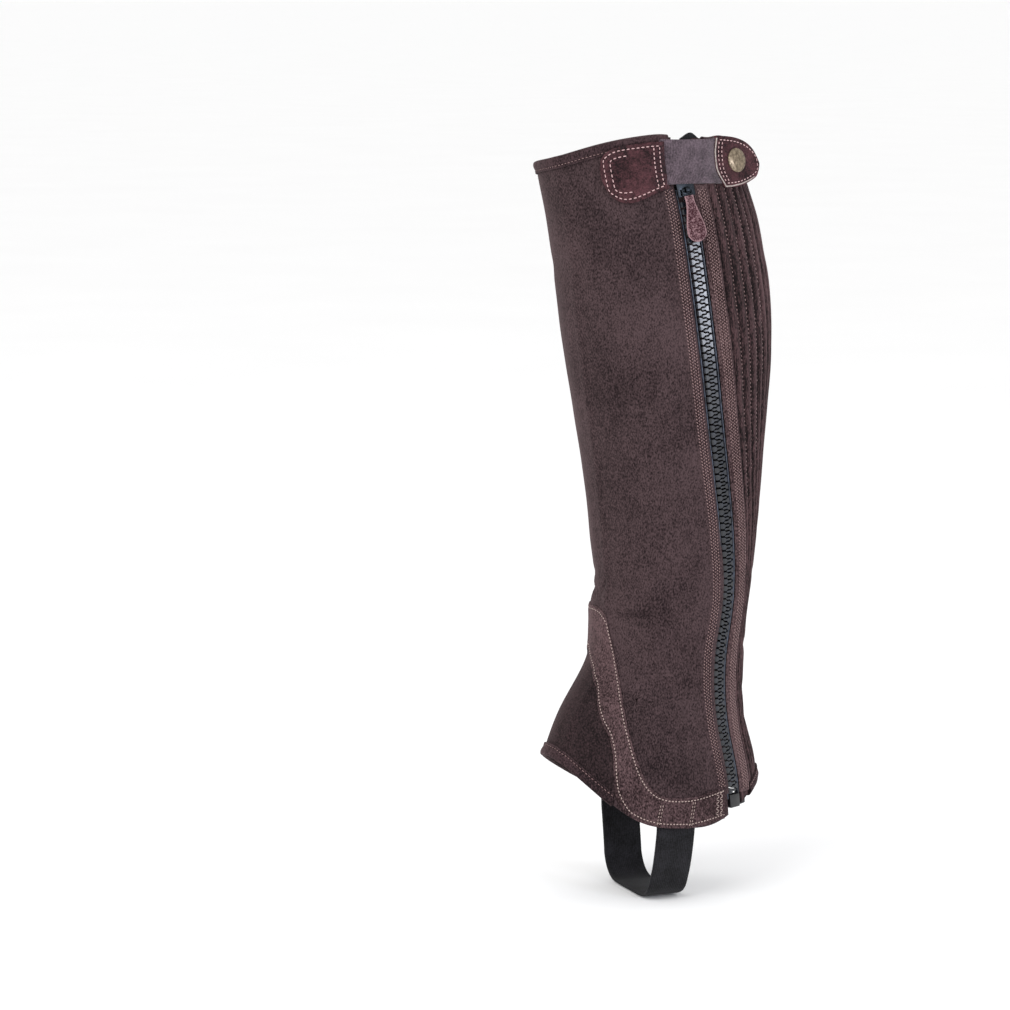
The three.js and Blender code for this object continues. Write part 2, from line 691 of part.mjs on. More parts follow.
function closureElastic() {
  const columns = 5;
  const rows = 3;
  return wall('closure_elastic', finishes.elastic, rows, columns, (row, column, side) => {
    const height = mix(elastic.top, elastic.foot, row / rows);
    const start = around(closureTab[0].angle, height, seamGap);
    const end = around(snapStart, height, snapEdge(height) - seamGap);
    const angle = mix(start, end, column / columns);
    return legPoint(angle, height, elastic.out + side * elastic.thickness);
  });
}

/** A place on the snap tab, which runs on almost straight from the elastic. */
function snapPoint(along, height, out) {
  const place = legPoint(snapStart, height, tabOut);
  const steps = 8;
  const total = snapTab[snapTab.length - 1].along;
  for (let step = 0; step < steps; step += 1) {
    const heading = radians(snapHeading + (snapTurn * along * (step + 0.5)) / steps / total);
    place.x -= (Math.sin(heading) * along) / steps;
    place.y += (Math.cos(heading) * along) / steps;
  }
  const facing = radians(snapHeading + (snapTurn * along) / total);
  return place.add(new THREE.Vector3(Math.cos(facing), Math.sin(facing), 0).multiplyScalar(out));
}

function looseTab() {
  const across = 3;
  return wall('snap_tab', finishes.leather, snapTab.length - 1, across, (row, column, side) => {
    const line = snapTab[row];
    const height = mix(line.top, line.foot, column / across);
    const along = line.along + snapEdge(height) * (1 - row / (snapTab.length - 1));
    return snapPoint(along, height, side * tabThickness);
  });
}

/** The press stud: a domed cap on the tab, its socket behind it and the stud on the gusset. */
function pressStud() {
  const here = snapPoint(snap.along, snap.height, 0);
  const up = snapPoint(snap.along, snap.height + 2, 0).sub(here).normalize();
  const facing = snapPoint(snap.along, snap.height, 1).sub(here).normalize();
  const round = new THREE.Vector3().crossVectors(up, facing).normalize();
  facing.crossVectors(round, up);
  const place = new THREE.Group();
  place.quaternion.setFromRotationMatrix(new THREE.Matrix4().makeBasis(round, up, facing));
  place.position.copy(here);
  const turned = (name, profile, segments) => {
    const corners = profile.map(([radius, height]) => new THREE.Vector2(radius, height));
    const geometry = new THREE.LatheGeometry(corners, segments).rotateX(Math.PI / 2);
    const mesh = new THREE.Mesh(geometry, finishes.brass);
    mesh.name = name;
    return mesh;
  };
  const cap = tabThickness + 0.2;
  place.add(turned('snap_cap', [
    [0, cap], [snap.radius, cap], [snap.radius, cap + 0.7], [snap.radius * 0.8, cap + snap.dome * 0.75],
    [snap.radius * 0.4, cap + snap.dome * 0.96], [0, cap + snap.dome],
  ], 28));
  place.add(turned('snap_socket', [[0, -1.5], [5.2, -1.5], [5.2, -0.2], [0, -0.2]], 20));
  place.add(turned('snap_stud', [[0, -snap.reach], [4.5, -snap.reach], [4.5, -1.8], [0, -1.8]], 20));
  return place;
}

// ---------- strap under the foot ----------

function footStrap() {
  const { width, thickness, y, foot, tuck } = strap;
  const outerTop = legPoint(3, tuck, -strap.clearOuter).x;
  const outerHem = legPoint(3, tuck - 13, -strap.clearOuter).x;
  const innerTop = legPoint(-183, tuck, -strap.clearInner).x;
  const innerHem = legPoint(-183, tuck - 15, -strap.clearInner).x;
  const route = new THREE.Path();
  route.moveTo(outerTop, tuck);
  route.lineTo(outerHem, tuck - 13);
  route.quadraticCurveTo(outerHem - 4, foot + 26, strap.solehalf + strap.middle + 5, foot + 15);
  route.quadraticCurveTo(strap.solehalf + strap.middle, foot, strap.solehalf + strap.middle - 15, foot);
  route.lineTo(strap.middle - strap.solehalf + 15, foot);
  route.quadraticCurveTo(strap.middle - strap.solehalf, foot, strap.middle - strap.solehalf - 5, foot + 15);
  route.quadraticCurveTo(innerHem + 4, foot + 26, innerHem, tuck - 15);
  route.lineTo(innerTop, tuck);
  const spots = route.getPoints(6);
  return wall('foot_strap', finishes.web, spots.length - 1, 1, (row, column, side) => {
    const before = spots[Math.max(row - 1, 0)];
    const after = spots[Math.min(row + 1, spots.length - 1)];
    const run = after.clone().sub(before).normalize();
    const out = (side - 0.5) * thickness;
    return new THREE.Vector3(
      spots[row].x - run.y * out,
      y + (column - 0.5) * width,
      spots[row].y + run.x * out,
    );
  });
}

// ---------- the half chap ----------

const chap = new THREE.Group();
chap.name = 'half_chap';
chap.add(mainPanel(), instepGusset(), ribGusset());
chap.add(seamStrip('strip_outer', outerStrip, 0), seamStrip('strip_inner', innerStrip, bindingDepth + 0.6));
chap.add(gripPatch());
const facingTop = zipGapFront + 0.3;
chap.add(uprightStrip('zip_facing', finishes.suede, 'zip', -facingTop, -facingTop - frontFacing, 0, -282.3));
chap.add(uprightStrip('zip_strip', finishes.paleSuede, 'zip', zipGapBack, zipGapBack + backFacing, 0, -287));
chap.add(uprightStrip('seam_strip', finishes.paleSuede, 'seam', -4, 4, 0.6, -283));
const zipEdge = (height, distance) => around(levelAt(height).zip, height, distance);
const tapeEdge = tapeWidth + 1.2;
chap.add(binding('top_binding', rimAt, 1, zipEdge(135, -tapeEdge), -266.6, 36));
chap.add(binding('top_binding_back', rimAt, 1, 92.9, zipEdge(135, tapeEdge), 10));
chap.add(binding('hem_binding_instep', hemAt, -1, -31.5, -160, 20));
chap.add(binding('hem_binding_inner', hemAt, -1, -160.7, -248, 12));
chap.add(binding('hem_binding_back', hemAt, -1, 111.5, zipEdge(-290, tapeEdge), 8));
chap.add(sewnTab(), closureElastic(), looseTab(), pressStud());
chap.add(zip(), footStrap());

export default chap;
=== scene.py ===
# %% [markdown]
# # A suede half chap, worn on the left leg
# A half chap is a hollow leg sleeve that a rider zips on over a short boot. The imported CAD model
# fixes the size and place of each part. This lesson lays a finer cloth piece over each plain solid
# and sews, zips and finishes it. The wearer faces -Y, the outside of the leg is +X and Z runs up.

# %% Load the frame
import math

import bpy
import numpy as np
from mathutils import Matrix, Vector


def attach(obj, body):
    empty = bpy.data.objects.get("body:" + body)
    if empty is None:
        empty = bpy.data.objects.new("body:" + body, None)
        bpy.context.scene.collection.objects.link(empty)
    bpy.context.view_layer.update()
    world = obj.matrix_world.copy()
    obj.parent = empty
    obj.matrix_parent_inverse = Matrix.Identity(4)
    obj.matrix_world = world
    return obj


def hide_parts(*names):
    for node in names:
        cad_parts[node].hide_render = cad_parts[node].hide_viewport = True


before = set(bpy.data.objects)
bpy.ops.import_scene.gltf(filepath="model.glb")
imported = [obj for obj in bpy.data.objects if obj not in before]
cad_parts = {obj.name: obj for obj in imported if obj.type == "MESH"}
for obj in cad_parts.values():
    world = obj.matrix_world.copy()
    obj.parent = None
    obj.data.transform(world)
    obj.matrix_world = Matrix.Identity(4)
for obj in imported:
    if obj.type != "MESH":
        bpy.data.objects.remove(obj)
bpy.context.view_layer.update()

# %% [markdown]
# The view is a long lens from the front and outside of the leg, a little above the top edge and
# tilted down. A camera could be turned by hand, but its heading and tilt are known angles, so the
# direction is worked out and turned into a rotation.

# %% Camera
MM = 0.001
VIEW_HEADING = math.radians(66)
VIEW_TURN = math.radians(2.51)
VIEW_TILT = math.radians(8.1)
VIEW_DISTANCE = 2.400
VIEW_HEIGHT = 0.235
SENSOR_WIDTH = 36
LENS = 130.9

toward = Vector((-math.sin(VIEW_HEADING), math.cos(VIEW_HEADING), 0))
beside = Vector((math.cos(VIEW_HEADING), math.sin(VIEW_HEADING), 0))
level_aim = toward * math.cos(VIEW_TURN) - beside * math.sin(VIEW_TURN)
aim = level_aim * math.cos(VIEW_TILT) - Vector((0, 0, math.sin(VIEW_TILT)))
bpy.ops.object.camera_add(
    location=-toward * VIEW_DISTANCE + Vector((0, 0, VIEW_HEIGHT)),
    rotation=aim.to_track_quat("-Z", "Y").to_euler(),
)
camera = bpy.context.object
camera.data.sensor_width = SENSOR_WIDTH
camera.data.lens = LENS
bpy.context.scene.camera = camera
print("camera at", [round(value, 3) for value in camera.location])

# %% [markdown]
# The leg is a stack of levels. Each row of the table is one level: its height, the y of its middle,
# the half widths to the side and to front and back, and the angles of the zip and of the rear seam.
# A smooth curve runs through the rows, so any point of the leg comes from an angle and a height.
# Angles turn about Z from the outside of the leg: 90 degrees is the back and -90 the shin.

# %% The leg's levels
LEVEL_NAMES = ("height", "y", "side", "depth", "zip", "seam")
LEVELS = np.array([
    (160, -14, 57, 67, 4, 93),
    (120, -15.5, 59, 66.5, 2.3, 93),
    (80, -7, 61.5, 68.5, 0, 93),
    (40, -1.5, 63, 69.5, -1, 94),
    (0, 1, 63, 67.5, 0.5, 94),
    (-40, 1.5, 61, 62.5, 4, 94),
    (-80, 2, 57.5, 57.5, 9, 94),
    (-120, 1.5, 53.5, 53.5, 15.8, 94),
    (-160, -1.5, 50, 50.5, 22.5, 98),
    (-200, -6, 47.5, 50, 20.5, 103),
    (-240, -18.5, 47, 62, 31, 107),
    (-280, -23, 48, 74.5, 35.7, 111),
    (-320, -32.5, 50, 80, 44, 113),
    (-360, -38.5, 52, 83, 49, 114),
], dtype=float)
LEVEL_TOP = 160
LEVEL_STEP = 40
LEAN = -0.085
SHIN_SQUEEZE = 0.10


def smooth(column, place):
    """Reads a column of a table between its rows, on a smooth curve through them."""
    column = np.asarray(column, dtype=float)
    last = len(column) - 1
    start = np.clip(np.floor(place).astype(int), 0, last - 1)
    t = np.asarray(place) - start
    b = column[start]
    c = column[start + 1]
    a = np.where(start > 0, column[np.maximum(start - 1, 0)], 2 * b - c)
    d = np.where(start + 2 <= last, column[np.minimum(start + 2, last)], 2 * c - b)
    bend = (2 * a - 5 * b + 4 * c - d) * t**2 + (3 * b - a - 3 * c + d) * t**3
    return 0.5 * (2 * b + (c - a) * t + bend)


def level(name, height):
    """One value of the leg at a height, in millimetres or degrees."""
    place = (LEVEL_TOP - np.asarray(height, dtype=float)) / LEVEL_STEP
    return smooth(LEVELS[:, LEVEL_NAMES.index(name)], place)


print("calf half widths", level("side", 40.0), level("depth", 40.0))

# %% [markdown]
# Worn suede isn't a clean tube. Soft troughs and ridges sit where the ankle bends and the shin
# pushes, and small creases fan out from them. Each is one row: angle, height, reach round the leg in
# degrees, reach up and down in millimetres, slope in millimetres a degree, and depth. The CAD solids
# have the eight large folds, and the finer creases are added here only.

# %% Folds and creases
FOLDS = [
    (-88, -152, 30, 9, 0.05, -2.2),
    (-92, -182, 34, 14, 0, 1.6),
    (-48, -169, 20, 3.5, 0.06, -1.0),
    (-93, 52, 20, 7, 0, -1.3),
    (-140, -158, 22, 8, -0.1, -1.4),
    (84, -176, 20, 10, 0, -1.3),
    (-205, -185, 26, 8, 0.08, -1.1),
    (-30, -205, 16, 9, 0.1, -0.9),
]
CREASES = [
    (-104, -161.5, 15, 2.3, -0.27, -2.1),
    (-114, -143, 20, 11, 0, -1.0),
    (-114, -170, 16, 6, 0, 0.8),
    (-80, -150, 5, 4.0, 1.8, -0.9),
    (-86, -172, 10, 2.6, 0.15, -0.8),
    (-50, -170, 17, 1.5, 0.07, -1.5),
    (-90, -161, 8, 1.7, -0.5, -1.3),
    (-28, -166, 9, 1.5, -0.05, -0.5),
    (-96, 57, 8, 3.2, 0.2, -0.7),
    (-94, 30, 9, 5.0, -0.1, -0.5),
    (-92, -60, 9, 6.0, 0.2, -0.5),
    (-94, -110, 10, 5.0, -0.2, 0.5),
    (-118, -150, 13, 3.4, 0.25, -0.9),
    (-134, -168, 16, 2.6, -0.12, -0.8),
    (-160, -176, 15, 2.4, 0.10, -0.7),
    (-196, -168, 18, 2.8, -0.10, -0.8),
    (-226, -188, 16, 3.0, 0.14, -0.9),
    (-240, -172, 12, 2.4, 0.0, -0.6),
    (-150, 20, 20, 10, 0.1, 0.5),
    (-20, -120, 20, 12, 0.2, 0.45),
    (-14, -186, 12, 4.0, 0.25, -0.45),
    (2, -214, 12, 5.0, -0.2, -0.5),
    (-36, 20, 22, 26, 0.3, 0.4),
    (-60, 84, 14, 16, 0.4, -0.4),
    (52, -150, 18, 3.0, 0.1, -0.7),
    (70, -196, 22, 3.4, -0.1, -0.9),
    (58, -226, 20, 4.2, 0.1, -0.8),
    (88, -244, 20, 4.0, 0.0, -0.7),
    (66, 60, 20, 9.0, 0.1, -0.4),
    (80, -120, 18, 5.0, -0.1, -0.5),
]
UPRIGHT_RIDGES = [(-76, 3.5, 0.55), (-69, 4, -0.3), (-112, 5, 0.4), (-30, 9, 0.3)]


def turn_from(at, angle):
    """Degrees round the leg from one angle to another, the shorter way."""
    return (angle - at + 540) % 360 - 180


def bell(distance, reach):
    """1 where the distance is nothing, falling softly to 0 past its reach."""
    return np.exp(-(distance / reach) ** 2)


def trough(rows, angle, height):
    """How far the rows of a fold table move the surface out at each point."""
    out = np.zeros(np.broadcast(angle, height).shape)
    for at, level_mm, turn_reach, rise_reach, slope, depth in rows:
        turn = turn_from(at, angle)
        rise = height - level_mm - slope * turn
        out = out + depth * bell(turn, turn_reach) * bell(rise, rise_reach)
    return out


def waviness(angle, height):
    """Slow unevenness of a hide, under half a millimetre, and the soft ridges along the shin."""
    turn = np.radians(angle)
    out = 0.16 * np.sin(3 * turn + height / 31 + 1.3) * np.sin(height / 47 + 0.6)
    out = out + 0.12 * np.sin(7 * turn - height / 19) * np.sin(2 * turn + height / 23 + 2.1)
    out = out + 0.07 * np.sin(13 * turn + height / 9 + 0.4) * np.sin(5 * turn - height / 13)
    for at, reach, size in UPRIGHT_RIDGES:
        out = out + size * bell(turn_from(at + 3 * np.sin(height / 60), angle), reach)
    return out


def leg(angle, height, out=0.0, fine=1.0):
    """Points on the worn leg, in metres, from angles in degrees and distances in millimetres.

    Without the fine creases and waves it is the surface that the CAD solids stand on."""
    angle, height, out = np.broadcast_arrays(np.asarray(angle, float), height, out)
    cosine = np.cos(np.radians(angle))
    sine = np.sin(np.radians(angle))
    side = level("side", height)
    depth = level("depth", height)
    squeeze = np.where(sine < 0, SHIN_SQUEEZE, 0)
    narrow = 1 - squeeze * sine**2
    across = -side * sine * (narrow + 2 * squeeze * cosine**2)
    along = depth * cosine
    length = np.hypot(across, along)
    creases = trough(CREASES, angle, height) + waviness(angle, height)
    move = out + trough(FOLDS, angle, height) + fine * creases
    x = LEAN * height + side * cosine * narrow + move * along / length
    y = level("y", height) + depth * sine - move * across / length
    return np.stack([x, y, height], axis=-1) * MM


calf = leg(np.arange(0, 361, 2), 20.0)
print("calf girth in mm", round(float(np.linalg.norm(np.diff(calf, axis=0), axis=1).sum()) / MM))

# %% [markdown]
# The top edge swings up towards the outside of the leg, and the hem is lowest at both ankles and
# highest over the instep. Seams are found by going a distance round the leg from the zip.

# %% Edges and distances
SEAM_GAP = 0.3
ZIP_FRONT = 6.5
ZIP_BACK = 7
BINDING_DEPTH = 6.5
RIM_DIPS = [(-70, 33, 4), (5, 9, 3), (21, 8, 3), (75, 32, 14)]
HEM_BUMP = (6, 15, 3.4)


def rim(angle):
    """Height of the top edge: a tilted ring that dips at the shin, at the zip and over the ribs."""
    angle = np.asarray(angle, dtype=float)
    height = 126.5 + 13 * np.cos(np.radians(angle - 15))
    for at, reach, drop in RIM_DIPS:
        height = height - drop * bell(turn_from(at, angle), reach)
    return height


def hem(angle):
    """Height of the lower edge: a level line with three waves on it and a bump before the zip."""
    angle = np.asarray(angle, dtype=float)
    turn = np.radians(angle)
    at, reach, rise = HEM_BUMP
    bump = rise * bell(turn_from(at, angle), reach)
    waves = -0.5 * np.cos(turn) - 15 * np.sin(turn)
    waves = waves - 15.5 * np.cos(2 * turn) + 3.5 * np.sin(2 * turn)
    return -289 + bump + waves - 3 * np.cos(3 * turn) - 3 * np.sin(3 * turn)


def gap_between(first, second):
    return np.linalg.norm(second - first, axis=-1) / MM


def round_leg(angle, height, distance):
    """The angle reached by going a distance round the leg at one height."""
    reach = gap_between(leg(angle - 1, height), leg(angle + 1, height)) / 2
    middle = angle + distance / reach / 2
    speed = gap_between(leg(middle - 1, height), leg(middle + 1, height)) / 2
    return angle + distance / speed


def beside_zip(height, distance):
    return round_leg(level("zip", height), height, distance)


def beside_seam(height, distance):
    return round_leg(level("seam", height), height, distance)


def mix(first, second, share):
    return first + (second - first) * share


def ease(low, high, value):
    """0 below low and 1 above high, with a soft step between."""
    share = np.clip((value - low) / (high - low), 0, 1)
    return share * share * (3 - 2 * share)


print("rim", rim(0).round(1), "hem at the instep", hem(-95).round(1))

# %% [markdown]
# Shader maths reads best as plain expressions, so one small class wraps the output of a node and
# overloads the operators that are used. Any other node comes from one method of the finish, which
# takes its type, its settings and the values or links of its sockets.

# %% Shader expressions
class Value:
    """An output of a shader node. An expression on it adds the Math nodes that work it out."""

    def __init__(self, finish, socket):
        self.finish = finish
        self.socket = socket

    def maths(self, operation, *values):
        return self.finish.node("ShaderNodeMath", {"operation": operation}, dict(enumerate(values)))

    def __add__(self, other):
        return self.maths("ADD", self, other)

    def __radd__(self, other):
        return self.maths("ADD", other, self)

    def __sub__(self, other):
        return self.maths("SUBTRACT", self, other)

    def __rsub__(self, other):
        return self.maths("SUBTRACT", other, self)

    def __mul__(self, other):
        return self.maths("MULTIPLY", self, other)

    def __rmul__(self, other):
        return self.maths("MULTIPLY", other, self)

    def sine(self):
        return self.maths("SINE", self)

    def between(self, low, high):
        """0 below low and 1 above high."""
        inputs = {0: self, 1: low, 2: high}
        return self.finish.node("ShaderNodeMapRange", {"clamp": True}, inputs)


class Finish:
    """A material, its Principled shader and the nodes behind it."""

    def __init__(self, name, **shader):
        self.material = bpy.data.materials.new(name)
        self.material.use_nodes = True
        self.tree = self.material.node_tree
        self.shader = self.tree.nodes["Principled BSDF"]
        for socket, value in shader.items():
            self.shader.inputs[socket.replace("_", " ")].default_value = value
        self.place = self.node("ShaderNodeTexCoord", {}, {}, "Object")
        self.flat = self.node("ShaderNodeTexCoord", {}, {}, "UV")

    def node(self, kind, settings, inputs, output=0):
        made = self.tree.nodes.new(kind)
        for name, value in settings.items():
            setattr(made, name, value)
        for socket, value in inputs.items():
            if isinstance(value, Value):
                self.tree.links.new(value.socket, made.inputs[socket])
            else:
                made.inputs[socket].default_value = value
        return Value(self, made.outputs[output])

    def noise(self, per_metre, detail=3, stretch=(1, 1, 1)):
        where = self.place
        if stretch != (1, 1, 1):
            where = self.node("ShaderNodeMapping", {}, {"Vector": where, "Scale": stretch})
        inputs = {"Vector": where, "Scale": per_metre, "Detail": detail}
        return self.node("ShaderNodeTexNoise", {}, inputs, "Fac")

    def cells(self, per_metre):
        inputs = {"Vector": self.place, "Scale": per_metre}
        return self.node("ShaderNodeTexVoronoi", {"feature": "SMOOTH_F1"}, inputs, "Distance")

    def blend(self, share, first, second):
        return self.node("ShaderNodeMix", {"data_type": "RGBA"}, {0: share, 6: first, 7: second}, 2)

    def attribute(self, name):
        return self.node("ShaderNodeAttribute", {"attribute_name": name}, {}, "Fac")

    def threads(self):
        """The piece's own flat coordinates, in metres across and along."""
        split = self.node("ShaderNodeSeparateXYZ", {}, {0: self.flat})
        return split, Value(self, split.socket.node.outputs[1])

    def link(self, value, socket):
        self.tree.links.new(value.socket, self.shader.inputs[socket])

    def paint(self, share, deep, pale):
        """Mixes two screen colours into the base colour."""
        self.link(self.blend(share, colour(*deep), colour(*pale)), "Base Color")

    def bump(self, height, strength, depth):
        inputs = {"Height": height, "Strength": strength, "Distance": depth}
        self.link(self.node("ShaderNodeBump", {}, inputs), "Normal")


def colour(red, green, blue):
    """A colour as it looks on a screen, from 0 to 255, turned into the linear light of a shader."""
    linear = []
    for value in (red, green, blue):
        share = value / 255
        linear.append(share / 12.92 if share < 0.04045 else ((share + 0.055) / 1.055) ** 2.4)
    return (*linear, 1.0)


print("grey 128 is", round(colour(128, 128, 128)[0], 3), "in linear light")

# %% [markdown]
# Suede is leather with its flesh side brushed up. It has no gloss. Its colour is mottled at three
# scales: clouds as wide as a thumb where the hide took the dye, patches where the nap lies one way or
# the other, and the grain of the fibres. A little sheen lightens it where it turns away. The vertex
# attribute named tone paints shade into folds and rib grooves, paints light on ridges and rib crests,
# and makes some places paler or darker.

# %% Suede
CLOUDS_A_METRE = 24
PATCHES_A_METRE = 130
NAP_A_METRE = 900
FIBRES_A_METRE = 1500


def suede(name, deep, pale, speckle=1.0, stretch=(1, 1, 0.8)):
    finish = Finish(name, Sheen_Weight=0.16, Sheen_Roughness=0.5, Specular_IOR_Level=0.12,
                    Sheen_Tint=colour(196, 166, 168))
    clouds = finish.noise(CLOUDS_A_METRE, 3)
    patches = finish.noise(PATCHES_A_METRE, 4, stretch)
    nap = finish.noise(NAP_A_METRE, 4, stretch)
    fibre = finish.noise(FIBRES_A_METRE, 2, (1, 1, 0.45))
    tone = finish.attribute("tone")
    shade = (clouds - 0.5) + (patches - 0.5) * 0.55 + (nap - 0.5) * (2.0 * speckle)
    shade = (shade + (fibre - 0.5) * (2.2 * speckle) + tone).between(0, 1)
    finish.paint(shade, deep, pale)
    finish.link((nap - 0.5) * 0.3 + 0.9, "Roughness")
    finish.bump(nap * 0.5 + fibre * 0.35 + patches * 0.5, 0.55, 0.0006)
    return finish.material


SUEDE = suede("suede", (22, 13, 15), (72, 57, 59))
DARK_SUEDE = suede("dark_suede", (15, 9, 10), (57, 43, 45))
RIB_SUEDE = suede("rib_suede", (13, 8, 9), (84, 62, 64), 0.9, (1, 1, 0.2))
PALE_SUEDE = suede("pale_suede", (30, 19, 20), (92, 72, 74), 1.1)
BAND_SUEDE = suede("band_suede", (30, 18, 20), (90, 71, 72), 1.2)
BOUND_SUEDE = suede("bound_suede", (20, 12, 14), (68, 51, 54), 1.1)
print("suedes made")

# %% [markdown]
# The tabs and the pull are smooth leather with a fine pebble grain, and their cut edges show the
# paler core. The elastic, the strap and the tapes are woven, so their pattern follows the piece's own
# flat coordinates in metres: crossed sine waves give the threads.

# %% Leather, woven and thread finishes
def leather(name, deep, pale, pebbles=1150, contrast=0.7, gloss=0.55):
    finish = Finish(name, Specular_IOR_Level=0.14)
    clouds = finish.noise(90, 4)
    grain = finish.cells(pebbles)
    creases = finish.noise(420, 4)
    tone = finish.attribute("tone")
    shade = (clouds - 0.5) * 1.2 + (grain - 0.4) * contrast + (creases - 0.5) * 0.9
    finish.paint((shade + tone).between(0, 1), deep, pale)
    finish.link((creases - 0.5) * 0.5 + gloss, "Roughness")
    finish.bump(grain * 0.7 + creases * 0.5, 0.5, 0.0004)
    return finish.material


def raw_edge(name, deep, pale):
    finish = Finish(name, Roughness=0.9, Specular_IOR_Level=0.2)
    fibre = finish.noise(900, 4)
    finish.paint(fibre.between(0.3, 0.7), deep, pale)
    finish.bump(fibre, 0.6, 0.0003)
    return finish.material


def woven(name, deep, pale, across_pitch, along_pitch, sheen=0.2, mottle=0.6):
    finish = Finish(name, Sheen_Weight=sheen, Specular_IOR_Level=0.15)
    across, along = finish.threads()
    warp = (across * (2 * math.pi / across_pitch)).sine()
    weft = (along * (2 * math.pi / along_pitch)).sine()
    fuzz = finish.noise(900, 3)
    height = warp * 0.3 + weft * warp * 0.25 + 0.5
    patches = finish.noise(110, 3)
    shade = height * 0.7 + (fuzz - 0.5) * (1.5 * mottle) + (patches - 0.5) * mottle
    finish.paint((shade + 0.15).between(0, 1), deep, pale)
    finish.link((fuzz - 0.5) * 0.3 + 0.78, "Roughness")
    finish.bump(height + fuzz * 0.3, 0.6, 0.0003)
    return finish.material


def thread(name, deep, pale):
    finish = Finish(name, Roughness=0.7, Sheen_Weight=0.2)
    wear = finish.noise(180, 3)
    strands = finish.noise(2600, 2)
    shade = (wear * 0.9 + strands * 0.5 - 0.2).between(0, 1)
    finish.paint(shade, deep, pale)
    finish.bump(strands, 0.4, 0.0002)
    return finish.material


TAB_LEATHER = leather("tab_leather", (20, 5, 8), (92, 56, 61))
TAG_LEATHER = leather("tag_leather", (46, 13, 21), (136, 106, 110), 1250, 1.9, 0.6)
RAW_EDGE = raw_edge("raw_edge", (104, 84, 82), (160, 138, 134))
RAW_CORE = raw_edge("raw_core", (128, 118, 114), (180, 170, 164))
ELASTIC = woven("elastic", (40, 32, 37), (98, 84, 92), 0.0011, 0.0008, 0.2, 1.3)
STRAP_WEB = woven("strap_web", (5, 5, 6), (34, 33, 37), 0.0013, 0.0012, 0.05, 1.8)
ZIP_TAPE = woven("zip_tape", (6, 6, 8), (24, 24, 29), 0.0010, 0.0007)
# The dark of the needle holes is painted shade: the shade inside each hole.
HOLE_SHADE = raw_edge("hole_painted_shade", (16, 4, 6), (44, 16, 20))
PANEL_THREAD = thread("panel_thread", (122, 102, 97), (190, 168, 160))
BAND_THREAD = thread("band_thread", (84, 54, 56), (164, 132, 128))
TAB_THREAD = thread("tab_thread", (150, 110, 114), (214, 182, 180))
print("leather, web and thread finishes made")

# %% [markdown]
# The zip's teeth are glossy moulded plastic, the slider is dark nickel and the snap is brass that has
# gone brown in its hollows. Their scratches and tarnish come from noise in the roughness and colour.

# %% Hard finishes
def plastic(name, deep, pale, gloss):
    finish = Finish(name, Specular_IOR_Level=0.4, Coat_Roughness=0.1)
    scuff = finish.noise(300, 4)
    finish.paint(scuff.between(0.35, 0.75), deep, pale)
    finish.link((scuff - 0.5) * 0.3 + gloss, "Roughness")
    finish.link((scuff - 0.5) * -0.4 + 0.25, "Coat Weight")
    return finish.material


def metal(name, deep, pale, gloss, scale=160):
    finish = Finish(name, Metallic=1)
    tarnish = finish.noise(scale, 4)
    scratches = finish.noise(1400, 2, (1, 1, 0.12))
    shade = (tarnish * 1.4 + scratches * 0.5 - 0.45).between(0, 1)
    finish.paint(shade, deep, pale)
    finish.link((0.5 - tarnish) * 0.5 + scratches * 0.15 + gloss, "Roughness")
    finish.bump(tarnish * 0.5 + scratches * 0.2, 0.12, 0.0002)
    return finish.material


TEETH = plastic("zip_teeth", (12, 14, 18), (34, 38, 48), 0.2)
# The bead's blue-grey, paler than the tape, is partly its own colour and partly a painted highlight for
# the gleam along the cord.
BEAD = plastic("zip_bead", (30, 33, 42), (80, 87, 104), 0.36)
BOX_PLASTIC = plastic("zip_box_plastic", (8, 8, 10), (20, 20, 24), 0.45)
DARK_METAL = metal("zip_metal", (14, 16, 18), (58, 62, 68), 0.24)
BRASS = metal("snap_brass", (46, 36, 26), (176, 160, 138), 0.34, 640)
print("hard finishes made")

# %% [markdown]
# Every cloth piece starts as a grid primitive. Its points are laid on the leg by a function of how
# far across and how far down the grid they are, and Solidify gives it the thickness of its hide. A
# simulation could drape it, but a worn half chap is held in shape by the leg, so laying the points
# is truer. The cut size is measured along the rows and columns.

# %% Laying cloth
CUTS = {}


def select_only(piece):
    bpy.ops.object.select_all(action="DESELECT")
    piece.select_set(True)
    bpy.context.view_layer.objects.active = piece


def points_of(piece):
    flat = np.empty(len(piece.data.vertices) * 3)
    piece.data.vertices.foreach_get("co", flat)
    return flat.reshape(-1, 3)


def move_points(piece, points):
    piece.data.vertices.foreach_set("co", np.asarray(points, dtype=float).ravel())
    piece.data.update()


def edit_all(piece, **steps):
    """Runs mesh operators, by name and with their settings, on the whole of a piece."""
    select_only(piece)
    bpy.ops.object.mode_set(mode="EDIT")
    bpy.ops.mesh.select_all(action="SELECT")
    for operator, settings in steps.items():
        getattr(bpy.ops.mesh, operator)(**settings)
    bpy.ops.object.mode_set(mode="OBJECT")


def apply_modifier(piece, kind, **settings):
    select_only(piece)
    modifier = piece.modifiers.new(kind.lower(), kind)
    for name, value in settings.items():
        setattr(modifier, name, value)
    bpy.ops.object.modifier_apply(modifier=modifier.name)


def round_edges(piece, width, segments, angle):
    """Bevels the edges that are sharper than an angle in degrees."""
    apply_modifier(piece, "BEVEL", width=width, segments=segments, limit_method="ANGLE",
                   angle_limit=math.radians(angle))


def grid_piece(name, columns, rows, place):
    """A grid primitive whose points are moved to place(across, down), each from 0 to 1."""
    bpy.ops.object.select_all(action="DESELECT")
    bpy.ops.mesh.primitive_grid_add(x_subdivisions=columns, y_subdivisions=rows, size=2)
    piece = bpy.context.object
    piece.name = name
    piece.data.name = name
    grid = points_of(piece)
    move_points(piece, place((grid[:, 0] + 1) / 2, (1 - grid[:, 1]) / 2))
    return piece


